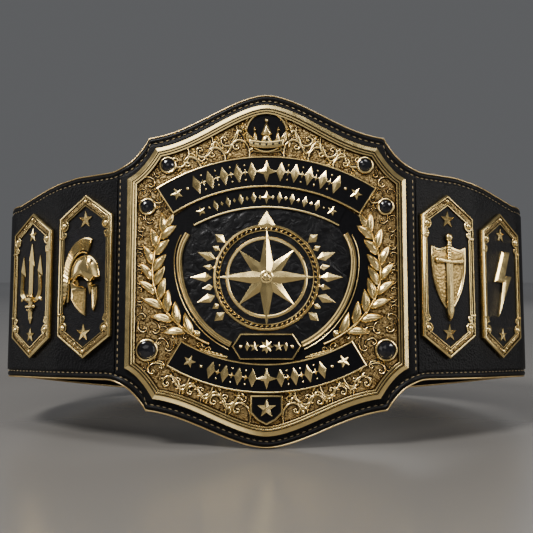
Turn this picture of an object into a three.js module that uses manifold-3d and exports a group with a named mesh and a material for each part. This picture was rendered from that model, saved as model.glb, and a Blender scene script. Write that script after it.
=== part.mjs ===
// A championship title belt: a black leather strap that closes into a waist loop,
// with one tall cast main plate in front and two small cast plates on each side.
// Millimetres, +Z up. The belt stands on the floor on the lower tip of its front and
// on the lower edge of its back, so it leans back a little; the origin is on the
// floor below the middle of its box. It faces -Y.
import * as THREE from "three";
import { mergeVertices } from "three/addons/utils/BufferGeometryUtils.js";
import Module from "manifold-3d";

const wasm = await Module();
wasm.setup();
const { Manifold, Mesh: ManifoldMesh } = wasm;

// Leather
const leatherThickness = 4; // strap, front to back
const weltHeight = 0.8; // raised rolled rim on the front, over the leather
const weltWidth = 3.4;
const weltSlope = 1.2; // width of the welt's inner slope
const panelThickness = 1; // sewn overlay leather
const seamPlace = 112; // from the middle to the seam of the side panels
const seamGap = 0.6; // between neighbouring panels
const bindingThickness = 1.2; // gilt edge binding
const plateMargin = 9.2; // leather that shows round the main plate
const overlap = 90; // of the two strap ends at the back
const gap = 0.3; // clearance between pieces that touch

// Strap outline, heights measured from the main plate's centre
const strapTop = 74.6;
const strapBottom = -83.8;
const strapBackTop = 50; // top edge at the back, where the strap has narrowed
const shoulderReach = 33; // from the flare's corner to the straight strap
const backDroop = 23; // the back hangs this much lower than the front

// Route of the strap in plan: stiff stretches under the plates, bends between them
const frontFlat = 103.5; // half of the flat stretch behind the main plate
const firstBend = { length: 10, turn: 29 };
const innerFlat = 54;
const secondBend = { length: 8, turn: 12 };
const outerFlat = 51;
const sideBend = { length: 26, turn: 42 };
const backFlat = 60; // half of the flat stretch at the back

// Main plate
const plateWidth = 210;
const plateCrest = 124.5; // centre to the top of the crest
const plateFoot = -124.3; // centre to the lowest point
const notchWidth = 21; // cut off each corner, across
const notchTop = { high: 90.8, low: 67.2 };
const notchFoot = { high: -74.6, low: -97 };
const notchBow = 3.4; // how far a notch curves in
const plateBody = 2.8; // thickness under the engraved field
const frameWidth = 8;
const frameRise = 2.4; // frame over the field
const pocketDepth = 0.9; // for the black enamel
const enamelThickness = 0.6;

// Relief on the main plate, over the field
const bannerRadius = { upper: 152, lower: 146 };
const bannerDepth = { upper: 23.5, lower: 21.5 };
const bannerReach = { upper: 0.7884, lower: 0.7057 }; // shares of the plate's half width
const bannerTop = { upper: 0.677, lower: 0.7466 }; // shares of the plate's crest and foot
const bannerThickness = 1.6;
const bannerLip = { width: 1.1, rise: 0.7 };
const ornamentRise = 1; // lozenges and stars over the ground under them
const sunk = 0.3; // how far raised details reach into what carries them
const bandDepth = 14.1; // second row of ornament, with the rail along its lower edge
const bandGap = 1.9; // between the upper banner and the second row
const railWidth = 1.3;
const railRise = 1.2;
const stoneRadius = { small: 4.8, large: 6.6 };
const stoneHeight = 3.4;
const bezelWall = 1.5;
const bezelRise = 1.9;
const medallionRadius = 14;
const emblemRadius = 39.8;
const emblemRise = 2.2;
const laurelRise = 2.2;
const archWidth = 5;
const archRise = 2;

// Side plates
const sidePlateWidth = 52;
const sidePlateHalfHeight = 63;
const sidePlateShoulder = 46;
const sideFrame = { side: 4.8, slant: 9, rise: 2.6 };
const sidePlateBase = 1;
const sideInlay = 0.5;
const starRadius = 6;

// Press studs at the back
const studRadius = 6.5;
const studPost = 2.6;
const studCap = 1.4;
const studColumn = 24; // half of the distance between the columns
const studRow = 34;

const radians = THREE.MathUtils.degToRad;
const lerp = THREE.MathUtils.lerp;
const smooth = (x) => THREE.MathUtils.smoothstep(x, 0, 1);

const leatherFront = leatherThickness / 2;
const panelBack = leatherFront + gap;
const plateBack = panelBack + panelThickness + gap;
const enamelFloor = plateBody - pocketDepth + gap;
const halfWidth = plateWidth / 2;
const notchInner = halfWidth - notchWidth;

// Colours and finishes
const finish = {
  gold: { color: 0xb8892f, roughness: 0.28, metalness: 1 },
  darkGold: { color: 0x8a6a34, roughness: 0.4, metalness: 1 },
  leather: { color: 0x17171a, roughness: 0.62, metalness: 0 },
  enamel: { color: 0x0c0c0e, roughness: 0.45, metalness: 0 },
  stone: { color: 0x101116, roughness: 0.05, metalness: 0.1 },
};
const materials = {};
for (const [name, values] of Object.entries(finish)) {
  materials[name] = new THREE.MeshStandardMaterial(values);
}

// Solids from rings of points

function geometryOf(points, triangles) {
  const geometry = new THREE.BufferGeometry();
  geometry.setAttribute("position", new THREE.Float32BufferAttribute(points.flat(), 3));
  geometry.setIndex(triangles);
  return geometry;
}

// Joins equal rings of 3-D points with quads, and closes both ends with flat caps,
// or joins the last ring to the first one.
function loft(rings, closed = false) {
  const size = rings[0].length;
  const triangles = [];
  const pairs = closed ? rings.length : rings.length - 1;
  for (let i = 0; i < pairs; i++) {
    const a = i * size;
    const b = ((i + 1) % rings.length) * size;
    for (let j = 0; j < size; j++) {
      const k = (j + 1) % size;
      triangles.push(a + j, a + k, b + k, a + j, b + k, b + j);
    }
  }
  if (!closed) {
    const last = (rings.length - 1) * size;
    for (const [p, q, r] of capOf(rings[0])) triangles.push(r, q, p);
    for (const [p, q, r] of capOf(rings.at(-1))) triangles.push(last + p, last + q, last + r);
  }
  return geometryOf(rings.flat(), triangles);
}

// Triangles that close a ring, seen along the ring's own normal.
function capOf(ring) {
  const normal = new THREE.Vector3();
  const points = ring.map((p) => new THREE.Vector3(...p));
  points.forEach((p, i) => normal.add(p.clone().cross(points[(i + 1) % points.length])));
  normal.normalize();
  const right = new THREE.Vector3(1, 0, 0);
  if (Math.abs(normal.x) > 0.9) right.set(0, 1, 0);
  right.addScaledVector(normal, -right.dot(normal)).normalize();
  const up = normal.clone().cross(right);
  const flat = points.map((p) => new THREE.Vector2(p.dot(right), p.dot(up)));
  return THREE.ShapeUtils.triangulateShape(flat, []);
}

// A block of an outline between two heights.
const slab = (outline, low, high) => loft([atHeight(outline, low), atHeight(outline, high)]);
const atHeight = (outline, z) => outline.map(([x, y]) => [x, y, z]);

// A block whose top edge is chamfered.
function chamfered(outline, low, high, chamfer) {
  return loft([
    atHeight(outline, low),
    atHeight(outline, high - chamfer),
    atHeight(inset(outline, chamfer), high),
  ]);
}

// Joins equal rings from the base up, and closes the last one at a point.
function peaked(rings, peak) {
  const size = rings[0].length;
  const last = (rings.length - 1) * size;
  const triangles = capOf(rings[0]).flatMap(([p, q, r]) => [r, q, p]);
  for (let j = 0; j < size; j++) {
    const k = (j + 1) % size;
    for (let a = 0; a < last; a += size) {
      triangles.push(a + j, a + k, a + size + k, a + j, a + size + k, a + size + j);
    }
    triangles.push(last + j, last + k, last + size);
  }
  return geometryOf([...rings.flat(), peak], triangles);
}

// Facets that rise from an outline to one point over its middle.
const facetedTo = (outline, low, edge, apex, [x, y] = [0, 0]) =>
  peaked([atHeight(outline, low), atHeight(outline, edge)], [x, y, apex]);

// Moves each point of an anticlockwise outline inwards by the same distance.
function inset(outline, distance) {
  const n = outline.length;
  return outline.map((point, i) => {
    const before = outline[(i + n - 1) % n];
    const after = outline[(i + 1) % n];
    const a = new THREE.Vector2(point[0] - before[0], point[1] - before[1]).normalize();
    const b = new THREE.Vector2(after[0] - point[0], after[1] - point[1]).normalize();
    const normal = new THREE.Vector2(-a.y - b.y, a.x + b.x);
    const reach = distance / Math.max(0.5, 0.5 * normal.length());
    normal.setLength(reach);
    return [point[0] + normal.x, point[1] + normal.y];
  });
}

// A tray: the frame's profile runs from the outer outline to the inner one, in shares.
function tray(outer, inner, profile) {
  const rings = profile.map(([share, z]) =>
    outer.map(([x, y], i) => [lerp(x, inner[i][0], share), lerp(y, inner[i][1], share), z]),
  );
  return loft(rings);
}

function solidOf(geometry) {
  const bare = new THREE.BufferGeometry();
  bare.setAttribute("position", geometry.getAttribute("position"));
  if (geometry.index) bare.setIndex(geometry.index);
  const merged = mergeVertices(bare, 1e-4);
  const vertProperties = merged.attributes.position.array;
  const triVerts = new Uint32Array(merged.index.array);
  return new Manifold(new ManifoldMesh({ numProp: 3, vertProperties, triVerts }));
}

function geometryFrom(solid) {
  const mesh = solid.getMesh();
  const geometry = new THREE.BufferGeometry();
  geometry.setAttribute("position", new THREE.BufferAttribute(mesh.vertProperties, 3));
  geometry.setIndex(new THREE.BufferAttribute(mesh.triVerts, 1));
  return geometry;
}

const fused = (geometries) =>
  geometryFrom(geometries.map(solidOf).reduce((whole, next) => whole.add(next)));
const cutBy = (geometry, cutters) =>
  geometryFrom(cutters.map(solidOf).reduce((whole, next) => whole.subtract(next), solidOf(geometry)));

function circle(radius, sides, [x, y] = [0, 0], start = 0) {
  return Array.from({ length: sides }, (_, i) => {
    const angle = start + (2 * Math.PI * i) / sides;
    return [x + radius * Math.cos(angle), y + radius * Math.sin(angle)];
  });
}

// A star with its first point up.
function star(points, outer, inner, [x, y] = [0, 0]) {
  return Array.from({ length: 2 * points }, (_, i) => {
    const angle = Math.PI / 2 + (Math.PI * i) / points;
    const radius = i % 2 ? inner : outer;
    return [x + radius * Math.cos(angle), y + radius * Math.sin(angle)];
  });
}

const starNotch = 0.42; // inner radius of a five-pointed star, as a share
const fiveStar = (radius, low, rise, middle) =>
  facetedTo(star(5, radius, radius * starNotch, middle), low, low + 0.2 * rise, low + rise, middle);

// A small round head, faceted to a point.
const dome = (radius, low, rise, middle) =>
  facetedTo(circle(radius, 6, middle), low, low + 0.4 * rise, low + rise, middle);

// A bar along a flat path: the width is a number or a function of the share travelled.
function bar(path, width, low, high, crown = 0.5) {
  const at = typeof width === "function" ? width : () => width;
  const rings = path.map(([x, y], i) => {
    const [ax, ay] = path[Math.max(0, i - 1)];
    const [bx, by] = path[Math.min(path.length - 1, i + 1)];
    const length = Math.hypot(bx - ax, by - ay);
    const half = at(i / (path.length - 1)) / 2;
    const nx = (-(by - ay) / length) * half;
    const ny = ((bx - ax) / length) * half;
    return [
      [x + nx, y + ny, low],
      [x + nx * crown, y + ny * crown, high],
      [x - nx * crown, y - ny * crown, high],
      [x - nx, y - ny, low],
    ];
  });
  return loft(rings);
}

const mirrored = (outline) => outline.map(([x, y]) => [-x, y]).reverse();

// Route of the strap

const route = [];
{
  let start = new THREE.Vector2(0, 0);
  let heading = 0;
  let travelled = 0;
  const add = (length, turn) => {
    const piece = { from: travelled, start, heading, length, turn };
    route.push(piece);
    start = along(piece, length).point;
    heading += turn;
    travelled += length;
  };
  add(frontFlat, 0);
  add(firstBend.length, radians(firstBend.turn));
  add(innerFlat, 0);
  add(secondBend.length, radians(secondBend.turn));
  add(outerFlat, 0);
  add(sideBend.length, radians(sideBend.turn));
  // The back's wide bend ends square to the front, backFlat from the middle.
  const radius = (start.x - backFlat) / Math.sin(heading);
  add(radius * (Math.PI - heading), Math.PI - heading);
  add(backFlat, 0);
}

function along(piece, distance) {
  const { start, heading, length, turn } = piece;
  if (turn === 0) {
    const step = new THREE.Vector2(Math.cos(heading), Math.sin(heading));
    return { point: start.clone().addScaledVector(step, distance), angle: heading };
  }
  const radius = length / turn;
  const angle = heading + distance / radius;
  const x = start.x + radius * (Math.sin(angle) - Math.sin(heading));
  const y = start.y + radius * (Math.cos(heading) - Math.cos(angle));
  return { point: new THREE.Vector2(x, y), angle };
}

const halfLoop = route.at(-1).from + backFlat;
const strapEnd = halfLoop + overlap / 2;
const innerPlateMiddle = route[2].from + innerFlat / 2;
const outerPlateMiddle = route[4].from + outerFlat / 2;
const straightEnd = route[5].from;
const backStart = route[7].from;

// Where the strap is at a distance along it: right of the middle is positive.
function planAt(u) {
  const distance = Math.abs(u);
  const piece = route.findLast(({ from }) => from <= distance) ?? route[0];
  const { point, angle } = along(piece, distance - piece.from);
  return { x: Math.sign(u) * point.x, y: point.y, angle: Math.sign(u) * angle };
}

const droopAt = (u) => -backDroop * smooth((Math.abs(u) - straightEnd) / (backStart - straightEnd));

// The left end lies over the right one, so it moves outwards before the back.
const liftLength = 80;
const overlapLift = plateBack + leatherFront;
const liftAt = (u) => overlapLift * smooth((-u - (backStart - liftLength)) / liftLength);

// A point of the belt from its place along the strap, its height, and how far out it is.
function onBelt(u, v, w) {
  const { x, y, angle } = planAt(u);
  const out = w + liftAt(u);
  return [x + out * Math.sin(angle), y - out * Math.cos(angle), v + droopAt(u)];
}

// Outlines

// An ogee from 1 in the middle to 0 at the corner.
const ogeeTip = 0.1; // roundness of the tip, as a share of the way to the corner
const ogeeWave = 0.65; // how much of the fall is a wave, the rest being straight
const ogeeLead = 0.97;
function ogee(share) {
  const s = Math.min(1, Math.abs(share)) ** ogeeLead;
  const wave = 0.5 + 0.5 * Math.cos(Math.PI * s);
  const straight = 1 - (Math.hypot(s, ogeeTip) - ogeeTip) / (Math.hypot(1, ogeeTip) - ogeeTip);
  return lerp(straight, wave, ogeeWave);
}

function plateEdge(u, crest, corner, low) {
  const across = Math.abs(u);
  if (across <= notchInner) return lerp(corner, crest, ogee(across / notchInner));
  const t = (across - notchInner) / notchWidth;
  return lerp(corner, low, t) - Math.sign(crest) * notchBow * 4 * t * (1 - t);
}

const flareCorner = notchInner + 0.6 * plateMargin;

// The leather's outline, to the outside of its binding.
function leatherEdge(u, top) {
  const across = Math.abs(u);
  const crest = top ? plateCrest + plateMargin : plateFoot - plateMargin;
  const corner = top ? notchTop.high + plateMargin : notchFoot.low - plateMargin;
  const strap = top ? strapTopAt(across) : strapBottom;
  if (across <= flareCorner) return lerp(corner, crest, ogee(across / flareCorner));
  const t = Math.min(1, (across - flareCorner) / shoulderReach);
  return lerp(strap, corner, (1 - t) ** 2.3);
}

// Share of the strap's narrowing along its straight stretch, and along the rest.
const narrowing = [
  { along: 0, share: 0 },
  { along: 0.3, share: 0.03 },
  { along: 0.62, share: 0.25 },
  { along: 1, share: 0.62 },
];
function strapTopAt(across) {
  const start = flareCorner + shoulderReach;
  const t = (across - start) / (straightEnd - start);
  let share = 0;
  if (t >= 1) {
    const rest = smooth((across - straightEnd) / (backStart - straightEnd) / 0.55);
    share = lerp(narrowing.at(-1).share, 1, rest);
  } else if (t > 0) {
    const i = narrowing.findIndex((row) => row.along > t);
    const [a, b] = [narrowing[i - 1], narrowing[i]];
    share = lerp(a.share, b.share, (t - a.along) / (b.along - a.along));
  }
  return lerp(strapTop, strapBackTop, share);
}

// A distance across the edge, as a height: more where the edge is steep.
function steepness(u, top) {
  const step = 1;
  const slope = (leatherEdge(u + step, top) - leatherEdge(u - step, top)) / (2 * step);
  return Math.hypot(1, slope);
}

function edgeAt(u, top, inwards) {
  const across = inwards * steepness(u, top);
  return leatherEdge(u, top) + (top ? -across : across);
}

// Stations along the strap, dense where it bends or its outline curves

const stations = (() => {
  const half = new Set([0]);
  const spread = (from, to, count) => {
    for (let i = 0; i <= count; i++) half.add(+lerp(from, to, i / count).toFixed(4));
  };
  spread(0, flareCorner, 7);
  spread(flareCorner, frontFlat, 2);
  spread(frontFlat, route[2].from, 3);
  spread(route[2].from, flareCorner + shoulderReach, 1);
  spread(flareCorner + shoulderReach, route[3].from, 2);
  spread(route[3].from, route[4].from, 1);
  spread(route[4].from, route[5].from, 2);
  spread(route[5].from, route[6].from, 3);
  spread(route[6].from, backStart, 7);
  half.add(halfLoop);
  half.add(strapEnd);
  const right = [...half].sort((a, b) => a - b);
  const apart = right.filter((u, i) => i === 0 || u - right[i - 1] > 0.3);
  return [...apart.slice(1).reverse().map((u) => -u), ...apart];
})();

const stationsBetween = (low, high) => [
  low,
  ...stations.filter((u) => u > low + 0.3 && u < high - 0.3),
  high,
];

// Leather pieces

const sweep = (places, section) => loft(places.map(section).reverse());

const edgeStart = bindingThickness + gap; // from the outline to the strap's own edge
const weltEnd = edgeStart + weltWidth + weltSlope;

function makeStrap() {
  const body = sweep(stations, (u) => {
    const at = (top, inwards, w) => onBelt(u, edgeAt(u, top, inwards), w);
    const side = (top) => [
      at(top, edgeStart, -leatherFront),
      at(top, edgeStart, leatherFront + 0.7 * weltHeight),
      at(top, edgeStart + weltWidth / 2, leatherFront + weltHeight),
      at(top, weltEnd, leatherFront),
    ];
    return [...side(false), ...side(true).reverse()];
  });
  return cutBy(body, studHoles());
}

// Overlay leather inside the welt, from one station to another.
function makePanel(from, to) {
  const body = sweep(stationsBetween(from, to), (u) => {
    const top = edgeAt(u, true, weltEnd + gap);
    const bottom = edgeAt(u, false, weltEnd + gap);
    return [
      onBelt(u, bottom, panelBack),
      onBelt(u, bottom, panelBack + panelThickness),
      onBelt(u, top, panelBack + panelThickness),
      onBelt(u, top, panelBack),
    ];
  });
  return cutBy(body, studHoles());
}

function makeBinding(top) {
  return sweep(stations, (u) => {
    const at = (inwards, w) => onBelt(u, edgeAt(u, top, inwards), w);
    const ring = [
      at(0, -leatherFront),
      at(0, leatherFront),
      at(bindingThickness, leatherFront),
      at(bindingThickness, -leatherFront),
    ];
    return top ? ring.reverse() : ring;
  });
}

// The binding down one end of the strap.
function makeEndBinding(side) {
  const end = side * strapEnd;
  const low = leatherEdge(end, false);
  const high = leatherEdge(end, true);
  const from = end + side * gap;
  const to = from + side * bindingThickness;
  const corners = side > 0 ? [to, from] : [from, to];
  const ring = (v) => [
    onBelt(corners[0], v, -leatherFront),
    onBelt(corners[1], v, -leatherFront),
    onBelt(corners[1], v, leatherFront),
    onBelt(corners[0], v, leatherFront),
  ];
  return loft([ring(low), ring(high)]);
}

// Press studs join the two ends at the back.
function studPlaces() {
  const middle = (strapBottom + strapBackTop) / 2 - backDroop;
  const y = planAt(halfLoop).y;
  return [-1, 1].flatMap((column) =>
    [-1, 1].map((row) => ({ x: column * studColumn, y, z: middle + row * studRow })),
  );
}

const studHoles = () =>
  studPlaces().map(({ x, y, z }) => {
    const hole = new THREE.CylinderGeometry(studPost + gap, studPost + gap, 40, 6);
    return hole.translate(x, y, z);
  });

function makeStud() {
  const inside = -leatherFront - gap;
  const outside = overlapLift + plateBack;
  const profile = [
    [0, inside - studCap],
    [studRadius * 0.8, inside - studCap],
    [studRadius, inside],
    [studPost, inside],
    [studPost, outside],
    [studRadius, outside],
    [studRadius * 0.8, outside + studCap],
    [0, outside + studCap],
  ];
  const points = profile.map(([r, z]) => new THREE.Vector2(r, z));
  return new THREE.LatheGeometry(points, 6);
}

// Main plate

function plateOutline() {
  const across = [];
  const crestSteps = 7;
  const notchSteps = 3;
  for (let i = 0; i <= crestSteps; i++) across.push((notchInner * i) / crestSteps);
  for (let i = 1; i <= notchSteps; i++) across.push(notchInner + (notchWidth * i) / notchSteps);
  const foot = across.map((x) => [x, plateEdge(x, plateFoot, notchFoot.low, notchFoot.high)]);
  const crest = across.map((x) => [x, plateEdge(x, plateCrest, notchTop.high, notchTop.low)]);
  const right = [...foot, ...crest.reverse()];
  return [...right, ...mirrored(right.slice(1, -1))];
}

const outline = plateOutline();
const fieldOutline = inset(outline, frameWidth);

// A point of the plate from shares of its half width and of its crest or foot.
const onPlate = ([x, y]) => [x * halfWidth, y * (y > 0 ? plateCrest : -plateFoot)];

// The arcs of the two banners and of the rail share a centre each.
const upperCentre = bannerTop.upper * plateCrest - bannerRadius.upper;
const lowerCentre = bannerTop.lower * plateFoot + bannerRadius.lower;
const upperInner = bannerRadius.upper - bannerDepth.upper;
const lowerInner = bannerRadius.lower - bannerDepth.lower;
const bandOuter = upperInner - bandGap;
const railRadius = bandOuter - bandDepth;
const halfAngle = (reach, radius) => THREE.MathUtils.radToDeg(Math.asin((reach * halfWidth) / radius));
const upperArc = (radius, degrees) => [
  radius * Math.sin(radians(degrees)),
  upperCentre + radius * Math.cos(radians(degrees)),
];
const lowerArc = (radius, degrees) => [
  radius * Math.sin(radians(degrees)),
  lowerCentre - radius * Math.cos(radians(degrees)),
];

// A band between two radii of an arc, narrower inside by the cut of its ends.
function arcBand(arc, outer, inner, outerAngle, innerAngle, steps) {
  const row = (radius, angle) =>
    Array.from({ length: steps + 1 }, (_, i) => arc(radius, lerp(-angle, angle, i / steps)));
  const band = [...row(inner, innerAngle), ...row(outer, outerAngle).reverse()];
  return arc === upperArc ? band : band.reverse();
}

// Stones in the corners, in shares of the plate's half width and of its crest or foot.
const stones = [
  { name: "upper", x: 0.708, y: 0.623, size: "small" },
  { name: "shoulder", x: 0.852, y: 0.369, size: "small" },
  { name: "lower", x: 0.842, y: -0.492, size: "large" },
];
const sides = [
  { name: "left", sign: -1 },
  { name: "right", sign: 1 },
];

// Turns an outline about the origin and moves it.
function placed(outline2d, degrees, [x, y]) {
  const c = Math.cos(radians(degrees));
  const s = Math.sin(radians(degrees));
  return outline2d.map(([a, b]) => [x + a * c - b * s, y + a * s + b * c]);
}

// A flat ring with a chamfered top.
function hoop(inner, outer, low, high, count, [x, y]) {
  const chamfer = 0.25 * (outer - inner);
  const rings = Array.from({ length: count }, (_, i) => {
    const angle = (2 * Math.PI * i) / count;
    const at = (radius, z) => [x + radius * Math.cos(angle), y + radius * Math.sin(angle), z];
    return [at(inner, low), at(inner, high), at(outer - chamfer, high), at(outer, low)];
  });
  return loft(rings, true);
}

// A frame's front across its width, as shares of the width and of its rise over the field.
const frameProfile = [
  { across: 0, up: -0.3 },
  { across: 0.15, up: 0.85 },
  { across: 0.42, up: 1 },
  { across: 0.49, up: 0.6 },
  { across: 0.6, up: 0.6 },
  { across: 0.68, up: 0.85 },
  { across: 0.8, up: 0.85 },
  { across: 1, up: 0 },
];

function framed(outer, inner, body, rise) {
  const front = frameProfile.map(({ across, up }) => [across, body + up * rise]);
  return tray(outer, inner, [[0, 0], ...front]);
}

// A flat sign with a raised lip.
function signPlate(outer, low, thickness, lip) {
  const inner = inset(outer, lip.width);
  const top = low + thickness;
  return tray(outer, inner, [[0, low], [0, top + lip.rise], [1, top]]);
}

const relief = plateBody + gap; // where the applied pieces start

// Black ground behind the centre, between the banners and inside the laurel stems.
const stem = { inset: 20.2, middle: -3, high: 72, low: 62, width: 1.8 };
const stemReach = halfWidth - stem.inset;
function stemPoint(degrees) {
  const angle = radians(degrees);
  const tall = degrees > 0 ? stem.high : stem.low;
  return [stemReach * Math.cos(angle), stem.middle + tall * Math.sin(angle)];
}

function groundOutline(grow) {
  const steps = 8;
  const right = Array.from({ length: steps + 1 }, (_, i) => stemPoint(lerp(-56, 36, i / steps)));
  const top = [22, 11].map((degrees) => upperArc(upperInner, degrees));
  const foot = [18, 9].map((degrees) => lowerArc(lowerInner, degrees)).reverse();
  const half = [...foot, ...right, ...top];
  const middleTop = upperArc(upperInner, 0);
  const middleFoot = lowerArc(lowerInner, 0);
  const whole = [middleFoot, ...half, middleTop, ...mirrored(half)];
  return grow ? inset(whole, -grow) : whole;
}

// Cast scrolls on the field: where each starts, its size, and which way it curls.
const scrolls = [
  { x: 0.28, y: 0.755, size: 8, start: 200, curl: 1 },
  { x: 0.52, y: 0.685, size: 6, start: 20, curl: -1 },
  { x: 0.66, y: -0.72, size: 7, start: 60, curl: 1 },
  { x: 0.28, y: -0.84, size: 7, start: 20, curl: 1 },
];
const scrollRise = 0.9;
const scrollWidth = 2.2;

function scrollPath({ x, y, size, start, curl }) {
  const [cx, cy] = onPlate([x, y]);
  const turns = 1.1;
  const steps = 6;
  return Array.from({ length: steps + 1 }, (_, i) => {
    const share = i / steps;
    const angle = radians(start) + curl * 2 * Math.PI * turns * share;
    const radius = size * lerp(1, 0.22, share ** 0.8);
    return [cx + radius * Math.cos(angle), cy + radius * Math.sin(angle)];
  });
}

function makeMainPlate() {
  const low = plateBody - sunk;
  const parts = [framed(outline, fieldOutline, plateBody, frameRise)];
  for (const { sign } of sides) {
    for (const row of stones) {
      const radius = stoneRadius[row.size];
      const [x, y] = onPlate([sign * row.x, row.y]);
      const wall = radius + gap + bezelWall;
      parts.push(hoop(radius + gap, wall, low, plateBody + bezelRise, 8, [x, y]));
    }
    for (const row of scrolls) {
      const path = scrollPath({ ...row });
      const width = (share) => scrollWidth * (0.45 + 0.55 * Math.sin(Math.PI * share));
      const shape = sign > 0 ? path : mirrored(path);
      parts.push(bar(shape, width, low, plateBody + scrollRise));
    }
  }
  const pocket = slab(groundOutline(gap), plateBody - pocketDepth, plateBody + 2 * scrollRise);
  const disc = circle(medallionRadius + gap, 20, [0, crownMiddle]);
  const socket = slab(disc, plateBody - pocketDepth, plateBody + 2 * scrollRise);
  return cutBy(fused(parts), [pocket, socket]);
}

const makeGround = () => slab(groundOutline(0), enamelFloor, enamelFloor + enamelThickness);
function makeMedallion() {
  const disc = circle(medallionRadius, 20, [0, crownMiddle]);
  return slab(disc, enamelFloor, enamelFloor + enamelThickness);
}

// A row of facets along an arc, each turned to the arc.
function arcRow(arc, radius, low, rise, rows) {
  return rows.map(({ angle, tall, wide, points }) => {
    const shape = points === 5 ? star(5, tall, tall * starNotch) : star(2, tall, wide);
    const turn = arc === upperArc ? -angle : angle;
    const middle = arc(radius, angle);
    const outer = placed(shape, turn, middle);
    return facetedTo(outer, low, low + 0.45 * rise, low + rise, middle);
  });
}

// Lozenges with short ones between them, closed by a star at each end. Heights are
// shares of the sign's depth, and the spread and the stars' place of its half angle.
const upperRow = { count: 11, spread: 0.667, tall: 0.298, wide: 0.145, starAngle: 0.848, starSize: 0.196 };
const bandRow = { count: 9, spread: 0.68, tall: 0.241, wide: 0.142, starAngle: 0.875, starSize: 0.241 };
const lowerRow = { count: 9, spread: 0.59, tall: 0.298, wide: 0.167, starAngle: 0.836, starSize: 0.233 };
function ornamentRow({ count, spread, tall, wide, starAngle, starSize }, depth, reach) {
  const rows = Array.from({ length: count }, (_, i) => {
    const angle = reach * lerp(-spread, spread, i / (count - 1));
    const size = depth * (i % 2 === 0 ? tall : 0.45 * tall);
    const across = depth * (i % 2 === 0 ? wide : 0.6 * wide);
    return { angle, tall: size, wide: across, points: 2 };
  });
  const ends = [-1, 1].map((side) => {
    return { angle: side * reach * starAngle, tall: depth * starSize, points: 5 };
  });
  return [...rows, ...ends];
}

function makeUpperBanner() {
  const wide = halfAngle(bannerReach.upper, bannerRadius.upper);
  const shape = arcBand(upperArc, bannerRadius.upper, upperInner, wide, wide, 10);
  const row = ornamentRow(upperRow, bannerDepth.upper, wide);
  const middle = (bannerRadius.upper + upperInner) / 2;
  const top = relief + bannerThickness;
  const motifs = arcRow(upperArc, middle, top - sunk, ornamentRise + sunk, row);
  return fused([signPlate(shape, relief, bannerThickness, bannerLip), ...motifs]);
}

// The second row of ornament stands on a thin band with the rail along its lower edge.
const secondBand = { reach: 0.566, thickness: 0.7 };
function makeSecondBand() {
  const wide = halfAngle(secondBand.reach, bandOuter);
  const ground = arcBand(upperArc, bandOuter, railRadius, wide, wide, 10);
  const rail = arcBand(upperArc, railRadius + railWidth, railRadius, wide, wide, 10);
  const top = relief + secondBand.thickness;
  const row = ornamentRow(bandRow, bandDepth, wide);
  const motifs = arcRow(upperArc, (bandOuter + railRadius + railWidth) / 2, top - sunk, 1, row);
  return fused([slab(ground, relief, top), slab(rail, relief + 0.2, relief + railRise), ...motifs]);
}

function makeLowerBanner() {
  const wide = halfAngle(bannerReach.lower, bannerRadius.lower);
  const shape = arcBand(lowerArc, bannerRadius.lower, lowerInner, wide, wide, 10);
  const row = ornamentRow(lowerRow, bannerDepth.lower, wide);
  const top = relief + bannerThickness;
  const middle = (bannerRadius.lower + lowerInner) / 2;
  const motifs = arcRow(lowerArc, middle, top - sunk, ornamentRise + sunk, row);
  return fused([signPlate(shape, relief, bannerThickness, bannerLip), ...motifs]);
}

const plaque = { middle: -58.7, halfWidth: 25.6, shoulder: 19.4, halfHeight: 9.6, thickness: 1.9 };
function makePlaque() {
  const { middle, halfWidth: reach, shoulder, halfHeight, thickness } = plaque;
  const corners = [[-shoulder, -1], [shoulder, -1], [reach, 0], [shoulder, 1], [-shoulder, 1], [-reach, 0]];
  const shape = corners.map(([x, y]) => [x, middle + y * halfHeight]);
  const top = relief + thickness;
  const motifs = [-0.62, -0.32, 0, 0.32, 0.62].map((share, i) => {
    const at = [share * reach * 1.1, middle];
    return i % 2 ? fiveStar(3.4, top - sunk, 1.2, at) : dome(i === 2 ? 3.4 : 1.6, top - sunk, 1.2, at);
  });
  return fused([signPlate(shape, relief, thickness, bannerLip), ...motifs]);
}

// One laurel spray: a stem with pairs of leaves.
const leaf = { length: 16.4, width: 6.4, pairs: 7, outward: 27, inward: 40, from: 20, to: -46 };
function leafOutline() {
  const { length, width } = leaf;
  const widest = 0.46 * length;
  return [[0, 0], [widest, -width / 2], [length, 0], [widest, width / 2]];
}

function makeLaurel(sign) {
  const turnOver = (shape) => (sign > 0 ? shape : mirrored(shape));
  const place = ([x, y]) => [sign * x, y];
  const steps = 9;
  const path = Array.from({ length: steps + 1 }, (_, i) => stemPoint(lerp(27, -59, i / steps)));
  const addLeaf = (degrees, spread) => {
    const [root, next] = [stemPoint(degrees), stemPoint(degrees + 1)];
    const up = THREE.MathUtils.radToDeg(Math.atan2(next[1] - root[1], next[0] - root[0]));
    const shape = turnOver(placed(leafOutline(), up + spread, root));
    const crest = place(placed([[0.42 * leaf.length, 0]], up + spread, root)[0]);
    return facetedTo(shape, relief, relief + 0.4 * laurelRise, relief + laurelRise, crest);
  };
  const parts = [bar(turnOver(path), stem.width, relief, relief + 0.7 * laurelRise)];
  for (let i = 0; i < leaf.pairs; i++) {
    const degrees = lerp(leaf.from, leaf.to, i / (leaf.pairs - 1));
    parts.push(addLeaf(degrees, -leaf.outward), addLeaf(degrees, leaf.inward));
  }
  return fused([...parts, addLeaf(26, -38)]);
}

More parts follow.
